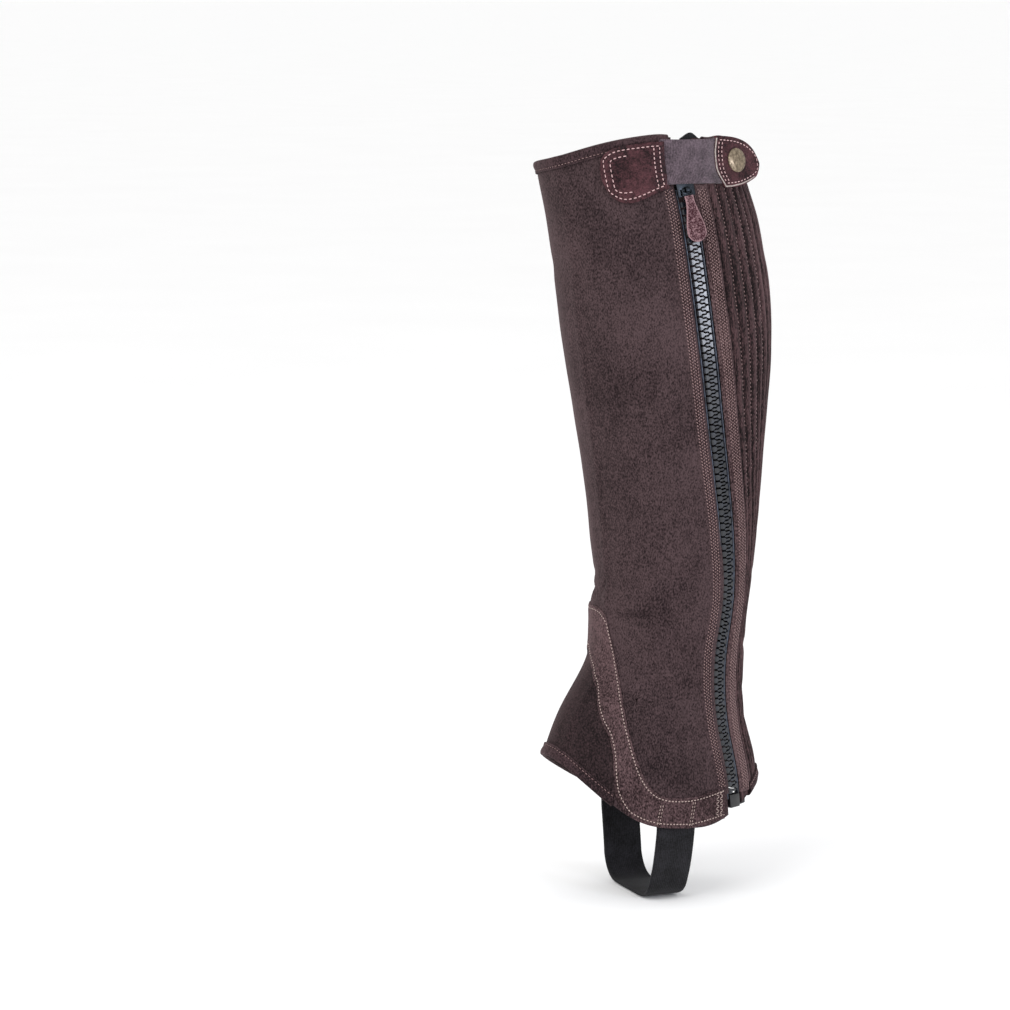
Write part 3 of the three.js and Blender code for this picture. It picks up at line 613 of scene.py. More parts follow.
def finish_piece(piece, materials, body="chap", angle=50):
    """Smooths a finished piece, gives it its materials and lets it ride on its body."""
    select_only(piece)
    bpy.ops.object.shade_smooth_by_angle(angle=math.radians(angle))
    piece.data.materials.clear()
    for material in materials:
        piece.data.materials.append(material)
    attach(piece, body)
    return piece


def face_outwards(piece):
    """Turns the faces round if the last tenth of them look towards the middle of the leg."""
    facing = 0.0
    faces = piece.data.polygons
    for face in faces[int(len(faces) * 0.9):]:
        height = face.center.z
        middle = Vector((LEAN * height, float(level("y", height / MM)) * MM, height))
        facing += face.normal.dot(face.center - middle)
    if facing < 0:
        edit_all(piece, flip_normals={})


def run_along(points):
    """The distance from the first point of a line to each of its points."""
    return np.concatenate([[0], np.cumsum(np.linalg.norm(np.diff(points, axis=0), axis=1))])


def length_of(points):
    return float(run_along(points)[-1])


def cloth(name, columns, rows, lay, thickness, materials,
          surface=leg, tone=None, body="chap", bevel=0.0):
    """A sheet whose points are laid on a surface, with its thickness inwards, in millimetres."""
    spots = {}

    def place(across, down):
        spots["laid"] = lay(across, down)
        return surface(*spots["laid"])

    piece = grid_piece(name, columns, rows, place)
    values = 0.5 if tone is None else tone(*spots["laid"][:2])
    attribute = piece.data.attributes.new("tone", "FLOAT", "POINT")
    attribute.data.foreach_set("value", np.broadcast_to(values, len(piece.data.vertices)).astype(float))
    steps = np.linspace(0, 1, 41)
    lines = np.linspace(0, 1, 9)
    width = [length_of(surface(*lay(steps, np.full(41, line)))) for line in lines]
    length = [length_of(surface(*lay(np.full(41, line), steps))) for line in lines]
    area = sum(face.area for face in piece.data.polygons)
    CUTS[name] = (max(width), max(length), area)
    loops = piece.data.uv_layers.active.data
    flat = np.empty(len(loops) * 2)
    loops.foreach_get("uv", flat)
    flat = flat.reshape(-1, 2) * (np.mean(width), np.mean(length))
    loops.foreach_set("uv", flat.ravel())
    face_outwards(piece)
    rim_slot = len(materials) - 1
    apply_modifier(piece, "SOLIDIFY", thickness=thickness * MM, offset=-1,
                   material_offset_rim=rim_slot)
    if bevel:
        round_edges(piece, bevel * MM, 2, 60)
    finish_piece(piece, materials, body)
    print(name, "cut in mm", round(1000 * max(width)), round(1000 * max(length)),
          "faces", len(piece.data.polygons))
    return piece


print("cloth is laid in the order that it is sewn")

# %% [markdown]
# The tone of each point of the suede is paler beside the zip and round the ankle, a little paler at
# the top and darker towards the hem. Its folds and creases carry painted shade in their hollows and
# painted light on their ridges.

# %% Tone of the suede, with painted shade in its folds
MM_A_DEGREE = 1.08
ANKLE = -172


def suede_tone(angle, height):
    # Painted shade in the hollows of the folds and creases, and painted light on their ridges.
    tone = 0.5 + 0.06 * trough(FOLDS, angle, height) + 0.17 * trough(CREASES, angle, height)
    # Paler beside the zip and round the ankle, paler at the top and darker towards the hem.
    tone = tone + 0.10 * bell((angle - level("zip", height)) * MM_A_DEGREE, 22)
    tone = tone + 0.06 * bell(height - ANKLE, 34) - 0.05 * ease(-235, -290, height)
    return tone + 0.04 * ease(70, 120, height) - 0.04 * ease(-190, -230, height)


print("tone by the zip", suede_tone(-8.0, 0.0).round(2), "at the shin", suede_tone(-80.0, 0.0).round(2))

# %% [markdown]
# The main panel is one cut of suede from the zip, round the shin and the inside of the leg, to the
# seam behind the calf. Its lower edge has a notch over the instep, where a separate tongue lets the
# ankle bend. Four rows in ten are below the ankle's fold, where the creases are small and close.

# %% Main panel
SUEDE_MM = 1.6
FOLD = -178
FOLD_SHARE = 0.62
NOTCH = np.array([
    (-161, -400), (-156, -262), (-150, -236), (-143, -217), (-135, -205.5), (-127, -200),
    (-119, -195), (-111, -193), (-103, -192), (-95, -194.5), (-87, -199), (-79, -204), (-71, -210),
    (-62, -217), (-52, -228), (-43, -238), (-37, -250), (-32.5, -270), (-30, -400),
])


def notch(angle):
    return np.interp(angle, NOTCH[:, 0], NOTCH[:, 1])


def rows_between(top, foot, down):
    """Heights of rows, with one that stays level with the ankle's fold."""
    calf = mix(top, FOLD, down / FOLD_SHARE)
    low = mix(FOLD, foot, (down - FOLD_SHARE) / (1 - FOLD_SHARE))
    return np.where(down < FOLD_SHARE, calf, low)


def lay_main_panel(across, down):
    height = mix(120.0, -285.0, down)
    for _ in range(3):
        seam = round_leg(level("seam", height) - 360, height, SEAM_GAP)
        angle = mix(seam, beside_zip(height, -ZIP_FRONT), across)
        height = rows_between(rim(angle), np.maximum(hem(angle), notch(angle)), down)
    return angle, height, SUEDE_MM


main_panel = cloth("suede_main_panel", 190, 210, lay_main_panel, SUEDE_MM, [SUEDE],
                   tone=suede_tone)
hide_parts("main_panel")

# %% [markdown]
# The tongue over the instep fills the notch between the two strips. It is a softer, darker offcut.

# %% Instep tongue
def lay_tongue(across, down):
    angle = mix(-160.2, -31.9, across)
    top = np.maximum(notch(angle) - 0.6, hem(angle) + 3)
    return angle, mix(top, hem(angle), down), SUEDE_MM - 0.1


def tongue_tone(angle, height):
    return suede_tone(angle, height) - 0.04 + 0.05 * np.sin(np.radians(angle) * 9 + height / 14)


instep_tongue = cloth("suede_instep_tongue", 110, 46, lay_tongue, SUEDE_MM,
                      [DARK_SUEDE], tone=tongue_tone)
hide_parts("instep_gusset")

# %% [markdown]
# Behind the zip a stretch gusset lets the calf move. Rows of elastic thread draw the suede up into
# ten upright ribs: rounded crests with sharp grooves between them. The crests differ a little in
# height, and they flatten where the binding and the seams hold the suede down.

# %% Ribbed gusset
RIBS = 10
RIB_MM = 1.9
STRIP_BACK = 10


def rib_place(angle, height):
    """How many ribs a point is from the front of the ribbed stretch."""
    front = beside_zip(height, ZIP_BACK + STRIP_BACK + 0.5)
    back = beside_seam(height, -8)
    return (angle - front) / (back - front) * RIBS


def rib_angle(place, height):
    front = beside_zip(height, ZIP_BACK + STRIP_BACK + 0.5)
    return mix(front, beside_seam(height, -8), place / RIBS)


def rib_wave(angle, height):
    place = rib_place(angle, height)
    inside = (place > 0) & (place < RIBS)
    crest = np.abs(np.sin(np.pi * place)) ** 0.62
    rib = np.floor(np.clip(place, 0, RIBS - 0.01))
    uneven = 1 + 0.16 * np.sin(rib * 2.4 + height / 37) + 0.10 * np.sin(rib * 4.1 - height / 11)
    held = ease(0, 16, rim(angle) - height) * ease(0, 20, height - hem(angle))
    return np.where(inside, (crest - 0.75) * RIB_MM * uneven, -0.75 * RIB_MM * 0.35) * held


def lay_ribs(across, down):
    height = mix(130.0, -290.0, down)
    for _ in range(3):
        angle = mix(beside_zip(height, ZIP_BACK + 0.5), beside_seam(height, -SEAM_GAP), across)
        height = mix(rim(angle), hem(angle), down)
    return angle, height, SUEDE_MM + rib_wave(angle, height)


def rib_tone(angle, height):
    place = rib_place(angle, height)
    # Painted light and shade: each crest is painted lighter, with a thin painted highlight along its
    # top, and each groove darker.
    crest_light = np.abs(np.sin(np.pi * place))
    tone = 0.08 + 0.26 * crest_light**0.7 + 0.22 * crest_light**9
    return tone + 0.06 * np.sin(np.floor(place) * 3.3 + height / 60)


rib_gusset = cloth("suede_rib_gusset", 150, 170, lay_ribs, SUEDE_MM, [RIB_SUEDE],
                   tone=rib_tone)
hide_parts("rib_gusset")

# %% [markdown]
# Two wide strips cover the seams of the tongue and carry the wear of the stirrup. Their edges are
# pressed down by the stitches: a groove a little way in, and a rounded edge. The same pressed edge
# is used on every piece that is sewn on top.

# %% Sewn-on edges
TRIM_MM = 1.1
TRIM_OUT = SUEDE_MM + TRIM_MM + 0.1
STITCH_INSET = 2.4


def pressed(distance):
    """How far stitches and a rounded edge pull a sewn-on piece down, by the distance from its edge."""
    groove = 0.30 * bell(distance - STITCH_INSET, 0.8)
    return -groove - 0.45 * (1 - ease(0, 1.3, distance))


OUTER_STRIP = np.array([
    (-103.7, -169, -103.7, -197), (-92, -168, -92, -203), (-81, -170, -82, -208),
    (-74, -174, -73, -214), (-69, -186, -65, -220), (-60, -201, -57, -229), (-47, -217, -48, -239),
    (-37.5, -230, -41, -247), (-30, -243, -36, -259), (-24, -257, -33, -274), (-18.5, -270, -30, -284),
    (-13, -279, -22, -400), (-7, -284, -13, -400), (1, -286.3, -3, -400), (12, -286.5, 10, -400),
    (28.5, -283, 31.5, -400),
])
INNER_STRIP = np.array([
    (-104.5, -169, -104.5, -197), (-117, -168.5, -115, -200), (-129, -169, -124, -205),
    (-140, -171, -131, -211), (-149, -179, -137, -220), (-154.5, -193, -141, -231),
    (-159, -210, -145, -246), (-164, -231, -149, -263), (-169, -254, -153, -276),
    (-174, -278, -158, -400), (-178, -298, -168, -400),
])


def strip_edges(rows, along, lift):
    """Angle and height of a strip's rear edge and of its front edge, and its width, along it."""
    place = along * (len(rows) - 1)
    rear_angle = smooth(rows[:, 0], place)
    front_angle = smooth(rows[:, 2], place)
    rear = smooth(rows[:, 1], place)
    front = smooth(np.maximum(rows[:, 3], hem(rows[:, 2]) + lift), place)
    front = np.maximum(front, hem(front_angle) + lift)
    width = gap_between(leg(rear_angle, rear), leg(front_angle, front))
    return rear_angle, rear, front_angle, front, width


def lay_strip(rows, lift):
    def lay(across, down):
        rear_angle, rear, front_angle, front, width = strip_edges(rows, across, lift)
        out = TRIM_OUT + pressed(np.minimum(down, 1 - down) * width)
        return mix(rear_angle, front_angle, down), mix(rear, front, down), out
    return lay


def strip_tone(angle, height):
    tone = 0.47 + 0.06 * np.sin(height / 17 + np.radians(angle) * 5) + 0.08 * ease(-205, -175, height)
    return tone - 0.2 * ease(-255, -290, height)


INNER_LIFT = BINDING_DEPTH + 0.6
outer_strip = cloth("suede_strip_outer", 150, 22, lay_strip(OUTER_STRIP, 0), TRIM_MM,
                    [PALE_SUEDE], tone=strip_tone)
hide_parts("strip_outer")
inner_strip = cloth("suede_strip_inner", 120, 22, lay_strip(INNER_STRIP, INNER_LIFT), TRIM_MM,
                    [PALE_SUEDE], tone=strip_tone)
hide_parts("strip_inner")

# %% [markdown]
# The grip patch sits where the leg presses the saddle. It is a drop with a long narrow tail, a row
# for each height: front edge and rear edge. Its pressed edge shows that it is a second layer.

# %% Grip patch
PATCH = np.array([
    (83, -211, -219), (80, -203, -228), (75, -192, -235), (66, -180, -239), (54, -170, -241),
    (36, -162.5, -245), (12, -162, -249), (-12, -167, -251), (-36, -173, -252), (-60, -185.5, -253),
    (-84, -199, -255), (-104, -210, -256), (-122, -211, -256), (-138, -212.5, -254),
    (-152, -216, -248), (-162, -219, -236),
], dtype=float)


def patch_sides(down):
    """Height, front angle and rear angle of the patch at a share of its length."""
    return [smooth(column, down * (len(PATCH) - 1)) for column in PATCH.T]


def lay_patch(across, down):
    height, front, rear = patch_sides(down)
    width = np.abs(front - rear) * MM_A_DEGREE
    sides = np.minimum(across, 1 - across) * width
    ends = np.minimum(PATCH[0, 0] - height, height - PATCH[-1, 0])
    return mix(rear, front, across), height, TRIM_OUT + pressed(np.minimum(sides, ends + 0.4))


def patch_tone(angle, height):
    return suede_tone(angle, height) - 0.03 + 0.03 * np.sin(height / 21 + 2)


grip_patch = cloth("suede_grip_patch", 70, 150, lay_patch, TRIM_MM, [SUEDE],
                   tone=patch_tone)
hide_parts("grip_patch")

# %% [markdown]
# Beside the zip the panel is folded back on itself, which makes a firm band. Behind the zip runs a
# paler strip, and another covers the seam behind the calf. All three follow their seam from the top
# binding to the hem, so one function lays them.

# %% Bands beside the zip and seam
FACING_NEAR = -ZIP_FRONT - 8.8
FACING_EDGE = -ZIP_FRONT + 0.6


def lay_band(beside, near, far, widen, foot, shape):
    """A band from one distance beside a seam to another; shape gives its lift from those distances."""
    def lay(across, down):
        top = rim(level("zip" if beside is beside_zip else "seam", 120.0)) - BINDING_DEPTH - 0.5
        height = mix(top, foot, down)
        spread = 1 + widen * down
        distance = mix(near, far, across) * spread
        return beside(height, distance), height, shape(across, abs(far - near) * spread)
    return lay


def lay_facing(across, down):
    """The folded edge, which comes closer to the teeth at the foot of the zip."""
    lay = lay_band(beside_zip, FACING_NEAR, FACING_EDGE, 0, -288, facing_shape)
    angle, height, out = lay(across, down)
    near = FACING_EDGE - 1.5 * ease(-60, 40, height) + 2.0 * ease(-100, -150, height)
    return beside_zip(height, mix(FACING_NEAR, near, across)), height, out


def facing_shape(across, width):
    """Rolled down to the tape on the zip side, and level with the panel on the other."""
    rolled = 1 - ease(0, 2.0, (1 - across) * width)
    return SUEDE_MM + 0.75 * ease(0, 1.6, across * width) + 0.1 - 1.3 * rolled


def strip_shape(across, width):
    rolled = 1 - ease(0, 1.8, across * width)
    return TRIM_OUT + 0.1 - 1.2 * rolled - 0.5 * (1 - ease(0, 1.2, (1 - across) * width))


def seam_shape(across, width):
    return TRIM_OUT + pressed(np.minimum(across, 1 - across) * width)


def band_tone(angle, height):
    tone = 0.42 + 0.05 * np.sin(height / 23) + 0.04 * np.sin(height / 7.3 + 1)
    return tone + 0.3 * ease(-110, -190, height)


zip_facing = cloth("suede_zip_facing", 14, 210, lay_facing, TRIM_MM, [SUEDE], tone=suede_tone)
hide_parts("zip_facing")
lay_zip_strip = lay_band(beside_zip, ZIP_BACK - 0.8, ZIP_BACK + STRIP_BACK, 0, -289, strip_shape)
zip_strip = cloth("suede_zip_strip", 14, 210, lay_zip_strip, TRIM_MM, [BAND_SUEDE],
                  tone=band_tone)
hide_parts("zip_strip")
lay_seam_strip = lay_band(beside_seam, -4, 4, 0.6, -283, seam_shape)
seam_strip = cloth("suede_seam_strip", 12, 190, lay_seam_strip, TRIM_MM, [PALE_SUEDE],
                   tone=band_tone)
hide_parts("seam_strip")

# %% [markdown]
# The raw edges are bound: a narrow strip of suede is folded over the edge and sewn through. In
# section it is a hairpin, puffed out above its stitches, so the grid's rows run up the outside, over
# the edge and down the inside.

# %% Bindings
BIND_INSIDE = 1.5
FACE_SHARE = 0.36
FOLD_HEIGHT = 1.5
SEWN_BELOW = 4.8


def lay_binding(edge, direction, start, end):
    def lay(across, down):
        angle = mix(start, end, across)
        puff = 0.14 * np.sin(angle * 0.61) + 0.12 * np.sin(angle * 0.23 + 1)
        half = (SUEDE_MM + TRIM_MM + 0.25 + BIND_INSIDE) / 2
        turn = np.pi * np.clip((down - FACE_SHARE) / (1 - 2 * FACE_SHARE), 0, 1)
        out = half - BIND_INSIDE + half * np.cos(turn)
        up = FOLD_HEIGHT * np.sin(turn)
        below = -BINDING_DEPTH * (1 - np.clip(np.minimum(down, 1 - down) / FACE_SHARE, 0, 1))
        bulge = (0.55 + puff) * bell(below + 1.4, 1.9) * np.cos(turn)
        stitch = 0.35 * bell(below + SEWN_BELOW, 0.7) * np.cos(turn)
        return angle, edge(angle) + direction * (up + below), out + bulge - stitch
    return lay


def binding(name, node, edge, direction, start, end, columns):
    piece = cloth(name, columns, 26, lay_binding(edge, direction, start, end), TRIM_MM * 0.8,
                  [BOUND_SUEDE], tone=strip_tone)
    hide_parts(node)
    return piece


TAPE_EDGE = 17.2
FRONT_TOP = float(beside_zip(135.0, -TAPE_EDGE))
UNDER_ELASTIC = float(beside_zip(135.0, -8.5))
BACK_TOP = float(beside_zip(135.0, TAPE_EDGE))
BACK_FOOT = float(beside_zip(-290.0, TAPE_EDGE))
SEAM_FRONT = -266.6
SEAM_BACK = 92.9
HEM_STRETCHES = {
    "instep": (-160, -31.5, 100),
    "inner": (-248, -160.7, 70),
    "back": (BACK_FOOT, 111.5, 50),
}
bindings = [
    binding("binding_top", "top_binding", rim, 1, SEAM_FRONT, UNDER_ELASTIC, 170),
    binding("binding_top_back", "top_binding_back", rim, 1, BACK_TOP, SEAM_BACK, 60),
]
for place, stretch in HEM_STRETCHES.items():
    bindings.append(binding(f"binding_hem_{place}", f"hem_binding_{place}", hem, -1, *stretch))

# %% [markdown]
# The zip's tapes are woven. Above the slider they close together, pass under the elastic and stand a
# little above the top edge, where their cut ends curl. Beside the teeth each tape has a moulded bead,
# a half-round cord that catches the light, and its colour is partly a painted highlight.

# %% Zip tapes
CHAIN_SIDE = 4.4
TAPE_MM = 16
TAPE_FOOT = -298
BEAD_TOP = 104
BEAD_FROM_ZIP = 5.4
BEAD_HALF = 0.55
BEAD_RISE = 1.3


def lay_tape(side):
    """The tape on one side of the zip: side is -1 towards the shin and 1 towards the ribs."""
    def lay(across, down):
        from_zip = across if side > 0 else 1 - across
        top = rim(5) - 1 + 2.55 * (1 + side) * bell(from_zip * TAPE_MM - 7, 6)
        height = mix(top, TAPE_FOOT, down)
        near = mix(CHAIN_SIDE, 0.3, ease(106, 113, height))
        curl = 1.6 * ease(rim(5) - 6, rim(5) + 3, height)
        return beside_zip(height, side * mix(near, TAPE_MM, from_zip)), height, -0.5 + curl
    return lay


def lay_bead(side):
    def lay(across, down):
        height = mix(BEAD_TOP, TAPE_FOOT + 6, down)
        turn = np.pi * across
        distance = side * BEAD_FROM_ZIP - BEAD_HALF * np.cos(turn)
        return beside_zip(height, distance), height, 0.1 + BEAD_RISE * np.sin(turn)
    return lay


tapes = []
for side, place in ((-1, "front"), (1, "back")):
    tapes.append(cloth(f"zip_tape_{place}_weave", 16, 180, lay_tape(side), 0.9, [ZIP_TAPE]))
    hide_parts(f"zip_tape_{place}")
    cloth(f"zip_bead_{place}", 8, 180, lay_bead(side), 0.5, [BEAD])

# %% [markdown]
# Each tooth is a moulded wedge: broad where it grips the tape and narrow where it passes between two
# teeth of the other side, so the gap between the rows is a zigzag. One tooth is modelled and copied
# up both sides, half a pitch apart. A frame on the zip gives each copy its place: x round the leg, y
# up the zip and z out of it.

# %% Zip teeth
PITCH = 4.6
CHAIN_TOP = 98.7
CHAIN_FOOT = -289
TOOTH_MM = 3.0
TOOTH = np.array([
    # x, half width, top
    (-4.6, 1.6, 0.7), (-3.6, 1.76, 2.05), (-2.2, 1.52, 2.1), (-1.25, 0.52, 2.1),
    (0.9, 0.68, 2.05), (1.6, 0.56, 2.0), (2.1, 0.28, 1.8),
])


def unit(vectors):
    return vectors / np.linalg.norm(vectors, axis=-1, keepdims=True)


def frames_from(x, y, z, origin):
    frames = np.zeros((len(origin), 4, 4))
    frames[:, :3, 0] = x
    frames[:, :3, 1] = y
    frames[:, :3, 2] = z
    frames[:, :3, 3] = origin
    frames[:, 3, 3] = 1
    return frames


def zip_frames(heights, out, fine=1.0):
    heights = np.atleast_1d(np.asarray(heights, dtype=float))

    def line(at, turn=0.0):
        return leg(level("zip", at) + turn, at, out, fine)

    up = unit(line(heights + 2) - line(heights - 2))
    outward = unit(np.cross(line(heights, 1.0) - line(heights), up))
    around = np.cross(up, outward)
    return frames_from(around * MM, up * MM, outward * MM, line(heights))


def repeated(name, template, frames, material, body="chap", angle=40):
    """One mesh that holds a copy of the template for each frame. The template is then deleted."""
    points = points_of(template)
    faces = [tuple(face.vertices) for face in template.data.polygons]
    placed = np.einsum("nij,kj->nki", frames[:, :3, :3], points) + frames[:, None, :3, 3]
    every = [tuple(corner + copy * len(points) for corner in face)
             for copy in range(len(frames)) for face in faces]
    mesh = bpy.data.meshes.new(name)
    mesh.from_pydata(placed.reshape(-1, 3).tolist(), [], every)
    piece = bpy.data.objects.new(name, mesh)
    bpy.context.scene.collection.objects.link(piece)
    bpy.data.objects.remove(template)
    finish_piece(piece, [material], body, angle)
    print(name, "copies", len(frames), "faces", len(every))
    return piece


def lay_tooth(across, down):
    place = across * (len(TOOTH) - 1)
    x, half, top = [np.interp(place, np.arange(len(TOOTH)), column) for column in TOOTH.T]
    return np.stack([x, (1 - 2 * down) * half, top], axis=-1)


def tooth():
    piece = grid_piece("tooth", len(TOOTH) - 1, 1, lay_tooth)
    apply_modifier(piece, "SOLIDIFY", thickness=TOOTH_MM, offset=-1)
    round_edges(piece, 0.16, 1, 60)
    return piece


left_rows = np.arange(CHAIN_FOOT + PITCH / 2, CHAIN_TOP - 1, PITCH)
right_rows = left_rows + PITCH / 2
turned_round = np.diag([-1.0, -1.0, 1.0, 1.0])
tooth_frames = np.concatenate([zip_frames(left_rows, 0.0), zip_frames(right_rows, 0.0) @ turned_round])
teeth = repeated("zip_teeth_rows", tooth(), tooth_frames, TEETH)
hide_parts("zip_chain")

# %% [markdown]
# Hard parts that the CAD model already has at the right size are copied, merged and given rounded
# edges: the slider, the pull's ring and the box at the foot of the zip.

# %% Rounded hard parts
def rounded(node, name, width, material, body="chap"):
    piece = bpy.data.objects.new(name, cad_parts[node].data.copy())
    bpy.context.scene.collection.objects.link(piece)
    edit_all(piece, remove_doubles={"threshold": 0.00001}, normals_make_consistent={"inside": False},
             dissolve_limited={"angle_limit": math.radians(3)})
    round_edges(piece, width * MM, 3, 35)
    finish_piece(piece, [material], body, 35)
    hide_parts(node)
    print(name, "faces", len(piece.data.polygons))
    return piece


rounded("zip_slider", "zip_slider_body", 0.45, DARK_METAL)
rounded("zip_pull_ring", "zip_pull_wire", 0.4, DARK_METAL, "zip_pull")
rounded("zip_box", "zip_box_block", 0.6, BOX_PLASTIC)

# %% [markdown]
# The pull is a leather drop hung on the slider's ring. Its own frame starts at the ring's hinge:
# x across, y up the zip and z out, turned a little so that it hangs plumb. A row of half widths
# gives the drop, and an arc its round end. Its face is crowned, and the cut edge shows the core.

# %% Pull tag
SLIDER_HEIGHT = 106.5
PULL_OUT = 5.4
PULL_DROP = 2.9
PULL_PRESS = math.radians(-2)
PULL_SWING = math.radians(1)
TAG_TOP = -4.0
TAG_LENGTH = 30
TAG_HALF = [3.2, 3.25, 4.2, 5.4, 6.4, 6.7, 6.3]
TAG_STEP = 5
TAG_ROUND = 6.5
hinge = zip_frames(SLIDER_HEIGHT, 0.2, fine=0.0)[0]
hinge[:3, 3] += hinge[:3, 2] * PULL_OUT - hinge[:3, 1] * PULL_DROP
turn = Matrix.Rotation(PULL_SWING, 4, "Z") @ Matrix.Rotation(PULL_PRESS, 4, "X")
pull_frame = hinge @ np.array(turn)


def pull_place(x, y, z):
    return np.stack([x, y, z], axis=-1) @ pull_frame[:3, :3].T + pull_frame[:3, 3]


def tag_half(fall):
    """Half width of the pull at a distance below its top, with its round end."""
    end = np.clip((fall - (TAG_LENGTH - TAG_ROUND)) / TAG_ROUND, 0, 1)
    return smooth(TAG_HALF, fall / TAG_STEP) * np.sqrt(np.maximum(1 - end**2.2, 0.0004))


def lay_tag(across, down):
    fall = TAG_LENGTH * (1 - (1 - down) ** 1.7)
    side = 2 * across - 1
    crown = 0.55 * (1 - np.abs(side) ** 4) + 0.35 * np.sin(fall / 9)
    return side * tag_half(fall), TAG_TOP - fall, 0.6 + crown


def tag_tone(x, y):
    """Paler where the cut edge is rounded over."""
    edge = np.minimum(tag_half(TAG_TOP - y) - np.abs(x), y - TAG_TOP + TAG_LENGTH)
    return 0.12 + 0.95 * (1 - ease(0.3, 1.2, edge))


pull_tag = cloth("zip_pull_drop", 22, 44, lay_tag, 1.6, [TAG_LEATHER, RAW_EDGE],
                 surface=pull_place, tone=tag_tone, body="zip_pull", bevel=0.3)
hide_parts("zip_pull_tag")
print("hinge in mm", (hinge[:3, 3] / MM).round(3))

# %% [markdown]
# The top closure is a leather tab sewn to the panel, a piece of woven elastic and a loose tab with a
# press stud. Leather this thick stays nearly flat, so the tabs are crowned only at their edges. They
# lie over the top binding and come closer to the leg below it.

# %% Closure
TAB_MM = 2.2
TAB_INSET = 2.6
CLOSURE_TAB = np.array([
    (-7, 135, 105.5), (-14, 134.5, 102.5), (-21, 133.5, 99), (-27, 132.5, 96.5),
    (-32.5, 131, 96), (-37, 128, 98.5), (-40, 124, 103), (-41.6, 118, 110),
])
SNAP_TAB = np.array([
    (0, 138, 105), (10, 137.3, 105.2), (19, 136, 106.3), (28, 133.2, 108.5), (35, 129, 111),
    (39, 124, 114.5), (41, 120, 118),
])
SNAP_CORNER = 1.5
SNAP_SLANT = 5.04
SNAP_START = 23
SNAP_HEADING = 19
SNAP_TURN = 7
ELASTIC_TOP = 136.5
ELASTIC_FOOT = 107.7


def edge_crown(distance):
    return -0.55 * (1 - ease(0, 2.2, distance)) - 0.28 * bell(distance - TAB_INSET, 0.7)


def tab_out(height):
    """The sewn tab rests on the binding above and on the panel below."""
    return mix(4.1, 5.5, ease(100, 126, height))


def tab_distance(table, place, across, scale):
    """Two coordinates of a point of a tab and its distance from the nearest edge, in millimetres."""
    top = smooth(table[:, 1], place)
    foot = smooth(table[:, 2], place)
    height = mix(top, foot, across)
    along = smooth(table[:, 0], place)
    ends = np.minimum(np.abs(along - table[0, 0]), np.abs(table[-1, 0] - along) + 0.6) * scale
    return along, height, np.minimum(ends, np.minimum(top - height, height - foot))


def lay_closure_tab(across, down):
    place = (1 - across) * (len(CLOSURE_TAB) - 1)
    angle, height, distance = tab_distance(CLOSURE_TAB, place, down, MM_A_DEGREE)
    return angle, height, tab_out(height) + edge_crown(distance)


def leather_tone(angle, height):
    return 0.25 + 0.04 * np.sin(height / 3.1) + 0.05 * np.sin(angle / 4.0)


def snap_edge(height):
    """The edge of the loose tab is rounded at its top corner and leans back near its foot."""
    share = (SNAP_TAB[0, 1] - height) / (SNAP_TAB[0, 1] - SNAP_TAB[0, 2])
    return SNAP_CORNER * ease(0.35, 0, share) + SNAP_SLANT * ease(0.6, 1.1, share)


def snap_tone(along, height):
    """Paler along the cut edge that faces the zip and along the foot."""
    foot = np.interp(along, SNAP_TAB[:, 0], SNAP_TAB[:, 2])
    edge = np.minimum(along - snap_edge(height), height - foot)
    return leather_tone(along, height) + 0.5 * (1 - ease(0.4, 1.3, edge))


closure_tab = cloth("leather_closure_tab", 60, 50, lay_closure_tab, TAB_MM,
                    [TAB_LEATHER, RAW_EDGE], tone=leather_tone, bevel=0.35)
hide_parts("closure_tab")


def lay_elastic(across, down):
    height = mix(ELASTIC_TOP, ELASTIC_FOOT, down) - 0.5 * np.sin(np.pi * across) * (1 - 2 * down)
    start = round_leg(CLOSURE_TAB[0, 0], height, -3.0)
    end = round_leg(SNAP_START, height, snap_edge(height) + 2.5)
    bulge = 1.8 * (1 - (2 * across - 1) ** 6)
    ripple = 0.08 * np.sin(across * 40 + height / 9)
    return mix(start, end, across), height, mix(3.1, 3.9, across) + bulge + ripple


closure_elastic = cloth("elastic_closure", 70, 50, lay_elastic, 1.3, [ELASTIC])
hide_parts("closure_elastic")


def snap_place(along, height, out):
    """Places on the loose tab, which runs on almost straight from the elastic."""
    along, height, out = np.broadcast_arrays(np.asarray(along, float), height, out)
    place = leg(np.full(along.shape, float(SNAP_START)), height, 3.85, 0.0)
    steps = 8
    turned_by = SNAP_TURN * along / SNAP_TAB[-1, 0]
    for step in range(steps):
        heading = np.radians(SNAP_HEADING + turned_by * (step + 0.5) / steps)
        place[..., 0] -= np.sin(heading) * along / steps * MM
        place[..., 1] += np.cos(heading) * along / steps * MM
    facing = np.radians(SNAP_HEADING + turned_by)
    place[..., 0] += np.cos(facing) * out * MM
    place[..., 1] += np.sin(facing) * out * MM
    return place


def lay_snap_tab(across, down):
    along, height, distance = tab_distance(SNAP_TAB, across * (len(SNAP_TAB) - 1), down, 1.0)
    return along + snap_edge(height) * (1 - across), height, TAB_MM + 0.2 + edge_crown(distance)


snap_tab = cloth("leather_snap_tab", 56, 46, lay_snap_tab, TAB_MM,
                 [TAB_LEATHER, RAW_EDGE], surface=snap_place, tone=snap_tone, bevel=0.35)
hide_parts("snap_tab")

# %% [markdown]
# The cut edge of the loose tab shows the pale core of the hide. It is a thin half-round rim along the
# edge that faces the zip and along the foot, laid on the same surface as the tab.

# %% Cut edge of the loose tab
CORE_MM = 0.5
CORE_END = 33.0


